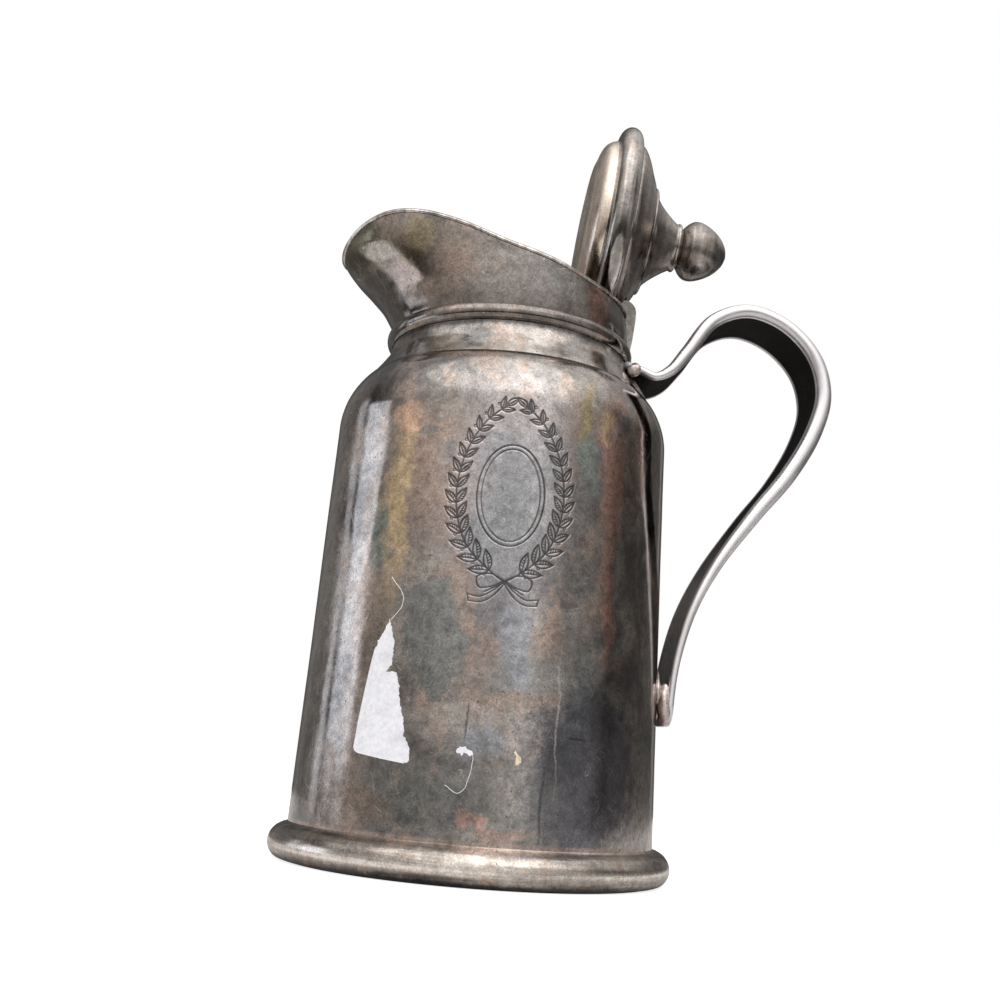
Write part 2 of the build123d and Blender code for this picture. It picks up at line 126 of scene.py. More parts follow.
# Camera, from the photograph's perspective
CAMERA_PLACE = Vector((-15.24, -290.81, 26.09)) * MM
CAMERA_YAW = math.radians(0.136)
CAMERA_PITCH = math.radians(12.356)
CAMERA_ROLL = math.radians(4.660)
PLANE_TURN = math.radians(-3.0)
CAMERA_LENS = 42.26


# Curves and meshes
def smooth(points, count):
    """Centripetal Catmull-Rom curve through points, with count samples on each span."""
    points = np.asarray(points, float)
    padded = np.vstack([2 * points[0] - points[1], points, 2 * points[-1] - points[-2]])
    out = []
    for i in range(1, len(padded) - 2):
        near = padded[i - 1:i + 3]
        knots = [0.0]
        for start, end in zip(near, near[1:]):
            knots.append(knots[-1] + np.linalg.norm(end - start) ** 0.5)
        t = np.linspace(knots[1], knots[2], count, endpoint=False)[:, None]

        def between(a, b, first, last):
            low, high = knots[first], knots[last]
            return (high - t) / (high - low) * a + (t - low) / (high - low) * b

        near = [between(near[k], near[k + 1], k, k + 1) for k in range(3)]
        near = [between(near[k], near[k + 1], k, k + 2) for k in range(2)]
        out.append(between(*near, 1, 2))
    out.append(points[-1:])
    return np.vstack(out)


def arc(centre, radius, start, end, count, squash=1.0):
    """Points on an arc, angles in degrees, with its height scaled by squash."""
    angle = np.radians(np.linspace(start, end, count))
    return np.stack(
        [centre[0] + radius * np.cos(angle), centre[1] + radius * squash * np.sin(angle)], axis=1
    )


def segment(start, end, count):
    """Evenly spaced points on a straight stretch."""
    t = np.linspace(0, 1, count)[:, None]
    return np.asarray(start, float) * (1 - t) + np.asarray(end, float) * t


def full_turn(count):
    """Angles evenly spaced round one turn."""
    return np.linspace(0, 2 * math.pi, count, endpoint=False)


def around(radius, angle, height):
    """Points at radii, angles and heights round the axis."""
    points = np.broadcast_arrays(radius * np.cos(angle), radius * np.sin(angle), height)
    return np.stack(points, axis=-1)


def add_object(name, data):
    """Object with its data, linked to the scene."""
    obj = bpy.data.objects.new(name, data)
    bpy.context.scene.collection.objects.link(obj)
    return obj


def piece(name, vertices, faces, material, slot, replaces=(), body="pitcher"):
    """Mesh object in the frame, from points in millimetres."""
    mesh = bpy.data.meshes.new(name)
    mesh.from_pydata((np.asarray(vertices, float).reshape(-1, 3) * MM).tolist(), [], faces)
    mesh.validate()
    mesh.shade_smooth()
    obj = add_object(name, mesh)
    mesh.materials.append(material)
    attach(obj, body)
    if replaces:
        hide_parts(*replaces)
    return obj


def grid_faces(rows, columns, close_rows, close_columns):
    """Quads of a grid whose rows or columns may close on themselves."""
    faces = []
    for i in range(rows if close_rows else rows - 1):
        a = i * columns
        b = ((i + 1) % rows) * columns
        for j in range(columns if close_columns else columns - 1):
            k = (j + 1) % columns
            faces.append((a + j, a + k, b + k, b + j))
    return faces


def tube_faces(rows, columns):
    """Quads of a grid that closes round its columns, with one face on each end."""
    last = (rows - 1) * columns
    ends = [tuple(range(columns))[::-1], tuple(range(last, last + columns))]
    return grid_faces(rows, columns, False, True) + ends


def store(obj, name, values):
    """Values kept on the points of an object, for its material."""
    layer = obj.data.attributes.new(name, "FLOAT", "POINT")
    layer.data.foreach_set("value", values.reshape(-1).astype(np.float32))


def lathe(profile, count=192):
    """Vertices and faces of a closed profile of (radius, height) turned about Z."""
    radius, height = np.hsplit(np.asarray(profile, float), 2)
    vertices = around(radius, full_turn(count), height).reshape(-1, 3)
    return vertices, grid_faces(len(profile), count, True, True)


def tipped(points, angle, centre):
    """Points turned about a line along Y through a centre given by x and z."""
    x, y, z = np.moveaxis(points, -1, 0)
    x, z = x - centre[0], z - centre[1]
    c, s = math.cos(angle), math.sin(angle)
    return np.stack([centre[0] + c * x + s * z, y, centre[1] - s * x + c * z], axis=-1)


def unevenness(points, size, seed):
    """Smooth repeatable unevenness between about -1 and 1, for features of one size."""
    x, y, z = np.moveaxis(points, -1, 0)
    rng = np.random.default_rng(seed)
    total = np.zeros_like(x)
    for _ in range(7):
        direction = rng.normal(size=3)
        direction /= np.linalg.norm(direction)
        phase = rng.uniform(0, 2 * math.pi)
        wave = 2 * math.pi / size * rng.uniform(0.6, 1.4)
        total += np.sin((direction[0] * x + direction[1] * y + direction[2] * z) * wave + phase)
    return total / 4.0


# Materials
class Tree:
    """Short calls for building one node tree."""

    def __init__(self, tree):
        self.tree = tree

    def fill(self, made, inputs):
        """Link or set inputs of a node."""
        for key, value in inputs.items():
            socket = made.inputs[key]
            if isinstance(value, bpy.types.NodeSocket):
                self.tree.links.new(value, socket)
            else:
                socket.default_value = value

    def node(self, kind, inputs=None, **settings):
        made = self.tree.nodes.new(kind)
        for key, value in settings.items():
            setattr(made, key, value)
        self.fill(made, inputs or {})
        return made

    def math(self, operation, a, b=0.0, c=0.0):
        return self.node("ShaderNodeMath", {0: a, 1: b, 2: c}, operation=operation).outputs[0]

    def times(self, a, b):
        return self.math("MULTIPLY", a, b)

    def plus(self, a, b, share=1.0):
        """Sum of one value and a share of another."""
        return self.math("MULTIPLY_ADD", b, share, a)

    def vector(self, operation, *values, output=0):
        made = self.node("ShaderNodeVectorMath", dict(enumerate(values)), operation=operation)
        return made.outputs[output]

    def attribute(self, name):
        return self.node("ShaderNodeAttribute", attribute_name=name).outputs["Fac"]

    def place(self, scale=(1, 1, 1), shift=(0, 0, 0), turn=0.0):
        """Object coordinates in metres, shifted, turned about Y and then scaled."""
        moved = self.node("ShaderNodeTexCoord").outputs["Object"]
        if any(shift):
            moved = self.vector("SUBTRACT", moved, shift)
        if turn:
            moved = self.node(
                "ShaderNodeVectorRotate", {"Vector": moved, "Angle": turn}, rotation_type="Y_AXIS"
            ).outputs[0]
        return self.vector("MULTIPLY", moved, scale)

    def noise(self, scale, stretch=(1, 1, 1), detail=4.0, rough=0.55, distortion=0.0,
              shift=(0, 0, 0), turn=0.0):
        return self.node("ShaderNodeTexNoise", {
            "Vector": self.place(stretch, shift, turn), "Scale": scale, "Detail": detail,
            "Roughness": rough, "Distortion": distortion,
        }).outputs["Fac"]

    def ramp(self, value, low, high, start=0.0, end=1.0, **settings):
        return self.node("ShaderNodeMapRange", {
            "Value": value, "From Min": low, "From Max": high, "To Min": start, "To Max": end,
        }, clamp=True, **settings).outputs["Result"]

    def mix(self, factor, a, b):
        """Colour between two colours."""
        a, b = ((*tone, 1.0) if isinstance(tone, tuple) else tone for tone in (a, b))
        return self.node("ShaderNodeMix", {0: factor, 6: a, 7: b}, data_type="RGBA").outputs[2]

    def dim(self, colour, value):
        """Colour made darker or lighter by a factor."""
        return self.node(
            "ShaderNodeVectorMath", {0: colour, "Scale": value}, operation="SCALE"
        ).outputs[0]

    def warped(self, waves):
        """Object coordinates pushed about by noise: pairs of scale and reach in millimetres."""
        place = self.node("ShaderNodeTexCoord").outputs["Object"]
        for scale, reach in waves:
            push = self.node(
                "ShaderNodeTexNoise", {"Vector": place, "Scale": scale, "Detail": 3.0}
            ).outputs["Color"]
            centred = self.vector("SUBTRACT", push, (0.5, 0.5, 0.5))
            place = self.vector("MULTIPLY_ADD", centred, (reach * MM,) * 3, place)
        return place

    def distance(self, place, centre, size):
        """Distance of a place from a point in millimetres, as 1 on an ellipsoid."""
        away = self.vector("SUBTRACT", place, [c * MM for c in centre])
        scaled = self.vector("MULTIPLY", away, [1 / (s * MM) for s in size])
        return self.vector("LENGTH", scaled, output="Value")


def new_material(name):
    """Empty material, with its node tree and its shader."""
    material = bpy.data.materials.new(name)
    material.use_nodes = True
    return material, Tree(material.node_tree), material.node_tree.nodes["Principled BSDF"]


SILVER = (0.46, 0.42, 0.385)
PALE = (0.66, 0.62, 0.60)
DARK = (0.195, 0.185, 0.178)
BROWN = (0.43, 0.325, 0.265)
COPPER = (0.49, 0.365, 0.305)
BRIGHT_COPPER = (0.88, 0.57, 0.41)
GOLD = (0.80, 0.60, 0.36)
OLIVE = (0.42, 0.345, 0.19)
DARK_OLIVE = (0.10, 0.088, 0.048)
TEAL = (0.27, 0.33, 0.30)
SLATE = (0.27, 0.275, 0.265)
BLUE_GREY = (0.36, 0.385, 0.43)
BLUE_BLACK = (0.17, 0.173, 0.195)
RED_BROWN = (0.60, 0.36, 0.29)
NEAR_BLACK = (0.045, 0.043, 0.045)
LAVENDER = (0.60, 0.575, 0.61)

# Waves that make the outlines of stains wander, as scale and reach in millimetres
STAIN_WAVES = [(95, 9.0), (420, 4.4)]
LINE_WAVES = [(120, 2.2), (900, 0.6)]

# Fine lines round a turned piece's axis, per metre: lines left by turning, which round the lid's
# axis also serve as painted streaks of reflection
TURNING_AND_STREAK_LINES = 620

# Directions of the fine scratches, as turn, lines per metre and length ratio
SCRATCHES = [
    (0.35, 3300, 0.050), (1.15, 2900, 0.040), (-0.75, 3100, 0.055), (1.85, 3500, 0.035),
    (2.55, 2800, 0.060),
]


def stained(tree, colour, stains, ragged):
    """Colour with stains: soft or sharp patches, some with the dried rim of a drop."""
    wide, fine = tree.warped(STAIN_WAVES), tree.warped(LINE_WAVES)
    patchy = tree.ramp(ragged, 0.40, 0.54, 0.70, 1.0)
    for row in stains:
        centre, size, (tint, strength, softness, *rim) = row[:3], row[3:6], row[6:]
        edge = 0.34 if softness < 0.3 else 0.26
        distance = tree.distance(fine if min(size) < 0.5 else wide, centre, size)
        distance = tree.plus(distance, tree.ramp(ragged, 0.3, 0.7, -edge, edge))
        inside = tree.ramp(distance, 1.0 + softness, 1.0 - softness, 0.0, strength)
        colour = tree.mix(tree.times(inside, patchy), colour, tint)
        if rim:
            offset = tree.math("ABSOLUTE", tree.math("SUBTRACT", distance, 1.0))
            colour = tree.mix(tree.ramp(offset, 0.10, 0.02, 0.0, 0.40), colour, rim[0])
    return colour


def ringed(tree, colour, rings, ragged):
    """Colour with bands at heights round the axis (painted highlight, painted shade and a copper
    joint line): height, half height, tint, strength.
    """
    height = tree.node("ShaderNodeSeparateXYZ", {0: tree.place()}).outputs["Z"]
    for level, half, tint, strength in rings:
        away = tree.math("ABSOLUTE", tree.math("SUBTRACT", height, level * MM))
        edge = tree.ramp(ragged, 0.3, 0.7, -0.4, 0.4)
        away = tree.plus(edge, away, 1 / (half * MM))
        colour = tree.mix(tree.ramp(away, 1.5, 0.5, 0.0, strength), colour, tint)
    return colour


def silver(name, base, worn, tarnish, amount, roughness, stains=(), grain=1.0, groove=False,
           strap=None, rings=(), dull=None, turned=None):
    """Tarnished silver plate: cloudy colour, stains, pits, flecks, fine scratches and dents."""
    material, tree, shader = new_material(name)
    shader.inputs["Metallic"].default_value = 1.0
    mix, ramp, noise, times, plus = tree.mix, tree.ramp, tree.noise, tree.times, tree.plus

    clouds = noise(42, detail=7.0, rough=0.62, distortion=0.8)
    blotches = noise(120, stretch=(1, 1, 0.6), detail=8.0, rough=0.68, shift=(0.3, 0, 0.1))
    mottle = noise(430, detail=6.0, rough=0.75, shift=(0.1, 0.7, 0))
    sand = noise(2400, detail=2.0, rough=0.6)

    colour = mix(ramp(clouds, 0.40, 0.60), base, worn)
    colour = mix(ramp(blotches, 0.52, 0.60, 0.0, amount), colour, tarnish)
    ragged = plus(times(blotches, 0.55), mottle, 0.45)
    if stains:
        colour = stained(tree, colour, stains, ragged)
    # Bands round the axis: painted highlight and painted shade on the foot, painted shadow under
    # the neck bead and a copper joint line on the body
    if rings:
        colour = ringed(tree, colour, rings, ragged)
    colour = tree.dim(colour, ramp(mottle, 0.33, 0.67, 1 - 0.36 * grain, 1 + 0.30 * grain))
    colour = tree.dim(colour, ramp(sand, 0.30, 0.70, 1 - 0.24 * grain, 1 + 0.24 * grain))

    # Turning lines; round the lid's axis they also serve as painted streaks of reflection
    if turned:
        lines = noise(TURNING_AND_STREAK_LINES, stretch=(0.035, 0.035, 1), detail=3.0, turn=turned[0])
        colour = tree.dim(colour, ramp(lines, 0.36, 0.64, 1 - turned[1], 1 + turned[1]))
    veins = noise(75, detail=5.0, shift=(0.2, 0.1, 0.3))
    veins = tree.math("ABSOLUTE", tree.math("SUBTRACT", veins, 0.5))
    cracked = noise(95, detail=2.0, shift=(0.4, 0.4, 0))
    cracked = ramp(cracked, 0.52, 0.58, 0.0, 0.30 * grain)
    veins = times(ramp(veins, 0.007, 0.002), cracked)
    colour = mix(veins, colour, NEAR_BLACK)

    crowd = ramp(clouds, 0.38, 0.62, 0.72, 0.64)
    pits = tree.math("SUBTRACT", noise(1250, detail=3.0, shift=(0, 0.3, 0)), crowd)
    pits = ramp(pits, 0.0, 0.05)
    flecks = ramp(noise(900, detail=3.0, shift=(0.6, 0, 0.2)), 0.705, 0.745)
    colour = mix(times(pits, 0.7 * grain), colour, NEAR_BLACK)
    colour = mix(times(flecks, 0.55 * grain), colour, PALE)

    scratches = 0.0
    for k, (turn, scale, ratio) in enumerate(SCRATCHES):
        shift = (0.13 * k, 0, 0.07 * k)
        lines = noise(scale, stretch=(ratio, ratio, 1), detail=1.0, turn=turn, shift=shift)
        scratches = tree.math("MAXIMUM", ramp(lines, 0.70, 0.77), scratches)
    crowds = ramp(noise(75, detail=2.0, shift=(0, 0.5, 0.5)), 0.42, 0.62, 0.12, 1.0)
    scratches = times(scratches, crowds)
    colour = mix(times(scratches, 0.36 * grain), colour, PALE)

    if groove:
        depth = tree.attribute("groove")
        colour = mix(ramp(depth, 0.12, 0.85, 0.0, 0.85), colour, NEAR_BLACK)
    # Strap: painted highlight on its edges and painted shade on its inner face, which also loses
    # its metal
    if strap:
        bright, dark = strap
        edge = tree.attribute("edge")
        inner = times(tree.attribute("inner"), ramp(clouds, 0.3, 0.6, 1.0, 0.96))
        colour = mix(inner, colour, dark)
        colour = mix(times(edge, ramp(clouds, 0.3, 0.6, 0.75, 0.97)), colour, bright)
        metal = tree.math("SUBTRACT", 1.0, inner)
        tree.fill(shader, {"Metallic": metal, "Specular IOR Level": 0.06})

    rough = ramp(clouds, 0.34, 0.66, *roughness)
    rough = plus(rough, ramp(blotches, 0.48, 0.68, -0.03, 0.08))
    rough = plus(rough, tree.math("MAXIMUM", scratches, pits), 0.12)
    if dull:
        centre, size, more = dull
        away = tree.distance(tree.place(), centre, size)
        rough = plus(rough, ramp(away, 1.2, 0.7, 0.0, more))
    if strap:
        rough = plus(plus(rough, inner, 0.45), edge, 0.14)

    dents = noise(52, detail=3.0, shift=(0.5, 0, 0))
    height = plus(dents, scratches, -0.018 * grain)
    height = plus(height, pits, -0.03 * grain)
    height = plus(height, mottle, 0.03 * grain)
    bump = tree.node("ShaderNodeBump", {"Height": height, "Strength": 0.35, "Distance": 0.0006})
    tree.fill(shader, {"Base Color": colour, "Roughness": rough, "Normal": bump.outputs[0]})
    return material


def paper(name, low, high):
    """Label paper between two colours: cloudy fibres and a faint grey soiling."""
    material, tree, shader = new_material(name)
    shader.inputs["Roughness"].default_value = 0.9
    fibres = tree.noise(900, detail=6.0, rough=0.7)
    soil = tree.noise(160, detail=5.0, shift=(0.2, 0, 0))
    colour = tree.mix(tree.ramp(fibres, 0.35, 0.62), low, high)
    colour = tree.mix(tree.ramp(soil, 0.56, 0.72, 0.0, 0.35), colour, (0.55, 0.54, 0.55))
    bump = tree.node("ShaderNodeBump", {"Height": fibres, "Strength": 0.5, "Distance": 0.0002})
    tree.fill(shader, {"Base Color": colour, "Normal": bump.outputs[0]})
    return material


# Stains: place, half sizes, colour, strength, softness of the edge and colour of any rim
BODY_STAINS = [
    (-26, -34, 64, 4.2, 14, 46, BROWN, 0.55, 0.45),
    (-16, -38, 87, 8.5, 14, 15, BROWN, 0.75, 0.35),
    (-19, -37, 93, 6.0, 14, 8.0, COPPER, 0.6, 0.30),
    (-23.5, -34, 80, 2.6, 14, 19, GOLD, 0.8, 0.40),
    (-23, -34, 99, 1.9, 14, 3.4, BRIGHT_COPPER, 0.9, 0.35),
    (-26.5, -33, 73, 1.5, 14, 7.5, TEAL, 0.8, 0.40),
    (-19, -37, 96, 1.7, 14, 1.9, SLATE, 0.75, 0.25),
    (-13, -40, 91, 2.2, 14, 2.8, SLATE, 0.6, 0.25),
    (-16.5, -38, 99.5, 0.8, 14, 1.6, SLATE, 0.7, 0.25),
    (0, -42, 82, 13.5, 14, 24, LAVENDER, 0.45, 0.45),
    (0, -42, 78, 7.5, 14, 15, BLUE_GREY, 0.55, 0.45),
    (1, -42, 80, 9, 14, 14, SLATE, 0.55, 0.45),
    (-12.5, -40, 50, 7.2, 14, 15.5, SLATE, 0.95, 0.10, COPPER),
    (-8, -41, 61, 3.2, 14, 7.5, BROWN, 0.65, 0.25),
    (-13.5, -41, 36.5, 2.4, 14, 1.9, COPPER, 0.8, 0.20),
    (-6, -42, 52.5, 1.3, 14, 2.2, COPPER, 0.7, 0.20),
    (-3, -42, 43, 3.2, 14, 8.0, COPPER, 0.6, 0.28),
    (-2, -42, 39.5, 2.1, 14, 3.5, BROWN, 0.8, 0.20, PALE),
    (6, -42, 42, 11, 14, 6, SLATE, 0.65, 0.40),
    (7, -42, 37.6, 10.0, 14, 1.9, BROWN, 0.7, 0.22),
    (4.5, -42, 50, 4.2, 14, 9.5, BLUE_GREY, 0.75, 0.25),
    (11, -41, 54, 0.9, 14, 7.0, COPPER, 0.75, 0.35),
    (-2, -43, 28, 5.0, 14, 3.6, BLUE_GREY, 0.7, 0.25),
    (17, -38, 45, 3.0, 14, 22, SLATE, 0.6, 0.40),
    (22, -38, 24, 16, 16, 17, BLUE_BLACK, 0.9, 0.20),
    (22, -37, 36, 5.2, 14, 5.0, NEAR_BLACK, 0.45, 0.30),
    (16, -40, 27, 6.5, 14, 5.5, NEAR_BLACK, 0.40, 0.30),
    (-8, -42, 17, 19, 14, 7.0, SLATE, 0.55, 0.35),
    (17.5, -37, 103, 1.8, 14, 7.5, OLIVE, 0.9, 0.40),
    (18.5, -37, 92, 2.3, 14, 6.5, TEAL, 0.75, 0.40),
    (24, -34, 90, 3.4, 14, 17, RED_BROWN, 0.9, 0.30),
    (23, -34, 102, 1.7, 14, 3.6, GOLD, 0.75, 0.30),
    (24.5, -34, 62, 1.7, 14, 14, RED_BROWN, 0.8, 0.25, COPPER),
    (31, -27, 99, 2.8, 14, 11, BROWN, 0.75, 0.35),
    (-4, -43, 13.0, 1.3, 14, 2.0, RED_BROWN, 0.7, 0.25),
    (-1, -43, 11.6, 1.6, 14, 2.2, RED_BROWN, 0.75, 0.25),
    (4, -43, 10.4, 3.7, 14, 1.4, RED_BROWN, 0.5, 0.30),
    (8, -42, 11.0, 2.1, 14, 1.0, COPPER, 0.6, 0.30),
    (-28, -32, 14, 7, 14, 5, BROWN, 0.6, 0.35),
    (14.5, -40, 36, 0.25, 14, 13, PALE, 0.55, 0.45),
    (-5, -42, 33, 0.22, 14, 4.0, NEAR_BLACK, 0.7, 0.40),
    (19, -39, 31, 2.6, 14, 0.25, NEAR_BLACK, 0.7, 0.40),
    (12, -41, 17, 0.3, 14, 7.0, NEAR_BLACK, 0.6, 0.40),
]
# Foot bands: a painted highlight low on the rim and painted shade along its bottom edge
FOOT_PAINTED_LIGHT_BANDS = [(3.5, 0.9, (0.95, 0.87, 0.79), 0.7), (0.3, 1.2, NEAR_BLACK, 0.85)]
# Body bands: painted shadow just under the neck bead, and a copper line at the joint above the foot
BODY_SHADE_AND_JOINT_BANDS = [(126.6, 1.0, NEAR_BLACK, 0.75), (8.6, 0.45, COPPER, 0.6)]
SPOUT_STAINS = [
    (-36, -12, 148, 8, 12, 5, OLIVE, 0.25, 0.30),
    (-22, -26, 140, 9, 12, 7, BROWN, 0.7, 0.35),
    (-26, -20, 149, 4, 12, 5, OLIVE, 0.55, 0.28),
    (20, -22, 138, 3.2, 10, 8, RED_BROWN, 0.85, 0.30),
    (26, -18, 140, 6.0, 14, 10, NEAR_BLACK, 0.85, 0.40),
    (6, -30, 141, 9, 12, 8, DARK, 0.7, 0.40),
    (11, -30, 139, 4, 12, 5, SLATE, 0.4, 0.35),
    (-44, -8, 156, 11, 12, 7, DARK_OLIVE, 0.9, 0.35),
    (-44, -9, 150, 7, 12, 6, DARK_OLIVE, 0.85, 0.40),
]
body_metal = silver("body_metal", DARK, SILVER, BROWN, 0.55, (0.08, 0.21), BODY_STAINS,
                    groove=True, rings=BODY_SHADE_AND_JOINT_BANDS)
collar_metal = silver("collar_metal", (0.175, 0.155, 0.14), (0.29, 0.26, 0.235), BROWN, 0.45,
                      (0.08, 0.20), SPOUT_STAINS, dull=((-45, -7, 157), (13, 14, 10), 0.30))
foot_metal = silver("foot_metal", (0.31, 0.275, 0.245), (0.56, 0.505, 0.455), BROWN, 0.6,
                    (0.16, 0.32), turned=(0.0, 0.42), rings=FOOT_PAINTED_LIGHT_BANDS)
# Pieces set about the lid's axis: their turning lines also serve as painted streaks of reflection
ring_metal = silver("ring_metal", (0.38, 0.35, 0.325), (0.64, 0.60, 0.56), BROWN, 0.45,
                    (0.12, 0.26), grain=0.8, turned=(-OPEN_ANGLE, 0.38))
lid_metal = silver("lid_metal", (0.21, 0.19, 0.175), (0.38, 0.345, 0.315), BROWN, 0.35,
                   (0.18, 0.32), grain=0.8, turned=(-OPEN_ANGLE, 0.30))
plate_metal = silver("plate_metal", (0.115, 0.108, 0.10), (0.20, 0.187, 0.172), DARK, 0.25,
                     (0.20, 0.34))
pan_metal = silver("pan_metal", (0.85, 0.70, 0.58), (0.97, 0.84, 0.72), BROWN, 0.2,
                   (0.24, 0.38), grain=0.5, turned=(-OPEN_ANGLE, 0.20))
# The strap's colours: painted highlight for its edges and painted shade for its inner face
handle_metal = silver("handle_metal", (0.20, 0.19, 0.185), (0.40, 0.375, 0.365), BROWN, 0.35,
                      (0.14, 0.28), grain=0.7, strap=[(0.88, 0.86, 0.88), (0.005, 0.0045, 0.004)])
fitting_metal = silver("fitting_metal", (0.17, 0.15, 0.13), (0.34, 0.30, 0.265), COPPER, 0.4,
                       (0.24, 0.42))
solder_metal = silver("solder_metal", (0.48, 0.40, 0.38), (0.80, 0.70, 0.67), BROWN, 0.4,
                      (0.28, 0.46))
label_paper = paper("label_paper", (0.80, 0.81, 0.88), (0.97, 0.975, 1.0))
cream_paper = paper("cream_paper", (0.70, 0.55, 0.38), (0.95, 0.84, 0.66))


# Body with its engraved wreath, in millimetres on the unrolled wall
ENGRAVING_TURN = math.radians(-89.0)
ENGRAVING_HEIGHT = 82.0
ENGRAVING_SCALE = 0.90
ENGRAVING_HALF = (17.6, 26.0)
STROKE_WIDTH = 0.22
STROKE_DEPTH = 0.11
FINE_STEP = 0.14
LEAF_SPREAD = math.radians(38)
BERRY_RADIUS = 0.32


def leaf(start, angle, length, width):
    """Outline, vein and hatching of one pointed leaf."""
    t = np.linspace(0, 1, 15)
    bow = width * np.sin(math.pi * t ** 0.85)
    along = np.array([math.cos(angle), math.sin(angle)])
    across = np.array([-along[1], along[0]])
    spine, side = start + np.outer(t * length, along), np.outer(bow, across)
    vein = start + np.outer(t * length * 0.9, along)
    strokes = [(spine + side, 1.0), (spine - side, 1.0), (vein, 0.8)]
    for share in (0.28, 0.42, 0.56, 0.70):
        root = start + along * length * share
        reach = width * math.sin(math.pi * share ** 0.85) * 0.92
        end = root + across * reach + along * length * 0.10
        strokes.append((np.array([root, end]), 0.55))
    return strokes


def oval(half_width, half_height, count):
    """Closed oval round the origin."""
    turn = np.linspace(0, 2 * math.pi, count)
    return np.stack([half_width * np.cos(turn), half_height * np.sin(turn)], axis=1)


def wreath():
    """Strokes of the engraving: a blank oval between two leafy sprigs tied with a ribbon."""
    ovals = [(oval(8.4, 12.6, 73), 1.0), (oval(7.3, 11.5, 73), 0.6)]
    stem = smooth([(-4.5, -24.0), (3.0, -19.5), (10.2, -12.5), (13.4, -2.0), (12.2, 9.0),
                   (7.6, 18.0), (2.6, 22.6)], 14)
    lengths = np.concatenate([[0], np.cumsum(np.linalg.norm(np.diff(stem, axis=0), axis=1))])
    sprig = [(stem, 0.9)]
    for place in np.linspace(0.17, 0.97, 13):
        at = lengths[-1] * place
        point, ahead = (
            np.array([np.interp(x, lengths, side) for side in stem.T]) for x in (at, at + 0.5)
        )
        heading = math.atan2(*(ahead - point)[::-1]) if at + 0.5 < lengths[-1] else 2.6
        size = 5.2 * (1.05 - 0.42 * place)
        for spread in (LEAF_SPREAD, -LEAF_SPREAD):
            sprig += leaf(point, heading + spread, size, size * 0.19)
        berry = point + 1.5 * np.array([math.cos(heading - 1.4), math.sin(heading - 1.4)])
        sprig.append((berry + oval(BERRY_RADIUS, BERRY_RADIUS, 9), 0.5))
    sprig += leaf(stem[-1], 2.5, 3.6, 0.75)
    bow = smooth([
        (0, -21.0), (3.4, -19.6), (6.6, -20.6), (6.0, -23.0), (3.0, -22.6), (0, -21.0),
    ], 8)
    tail = smooth([(0, -21.2), (2.6, -23.6), (5.6, -25.2), (8.6, -24.8)], 8)
    tail_low = smooth([(0, -21.8), (2.2, -24.6), (5.0, -26.4), (8.2, -26.4)], 8)
    sprig += [(bow, 0.9), (tail, 0.8), (tail_low, 0.8), (np.array([tail[-1], tail_low[-1]]), 0.7)]
    return ovals + sprig + [(points * np.array([-1.0, 1.0]), weight) for points, weight in sprig]


def engraving_depth(across, up):
    """How deep the engraving cuts at points given in millimetres on the unrolled wall."""
    depth = np.zeros_like(across)
    for points, weight in wreath():
        points = points * ENGRAVING_SCALE
        reach = STROKE_WIDTH * (0.6 + 0.5 * weight)
        low, high = points.min(0) - reach, points.max(0) + reach
        near = (across > low[0]) & (across < high[0]) & (up > low[1]) & (up < high[1])
        x, y = across[near], up[near]
        best = np.full(len(x), 1e9)
        for a, b in zip(points[:-1], points[1:]):
            run = b - a
            share = ((x - a[0]) * run[0] + (y - a[1]) * run[1]) / max(run @ run, 1e-9)
            share = np.clip(share, 0, 1)
            gap = np.hypot(x - a[0] - share * run[0], y - a[1] - share * run[1])
            best = np.minimum(best, gap)
        cut = np.clip(1 - (best / reach) ** 2, 0, 1) * (0.55 + 0.45 * weight)
        depth[near] = np.maximum(depth[near], cut)
    return depth


def body_profile(offset):
    """Half outline of the body's wall, as (radius, height), moved outwards by offset."""
    centre = SHOULDER_START_RADIUS - SHOULDER_ROUND
    round_radius = SHOULDER_ROUND + offset
    bend = np.linspace(0, SHOULDER_TURN, 40)
    shoulder = np.stack(
        [centre + round_radius * np.cos(bend), SHOULDER_START + round_radius * np.sin(bend)], axis=1
    )
    fillet = smooth([
        shoulder[-1], (32.5 + offset, 121.0 + offset * 0.4), (30.9 + offset, 123.7 + offset * 0.4),
        (NECK_RADIUS + offset, 126.2), (NECK_RADIUS + offset, NECK_TOP),
    ], 8)
    return np.vstack([shoulder[:-1], fillet])


def wall_sway(points):
    """Shallow dents and unevenness of the hand-finished wall, in millimetres."""
    z = points[..., 2]
    fade = np.clip((z - 12) / 20, 0, 1) * np.clip((118 - z) / 10, 0, 1)
    return (unevenness(points, 46, 3) * 0.10 + unevenness(points, 17, 4) * 0.025) * fade


def wall_radius(z):
    """Outer radius of the tapered wall at heights."""
    slope = (BODY_RADIUS - SHOULDER_START_RADIUS) / (SHOULDER_START - LEDGE)
    return BODY_RADIUS - slope * (z - LEDGE)


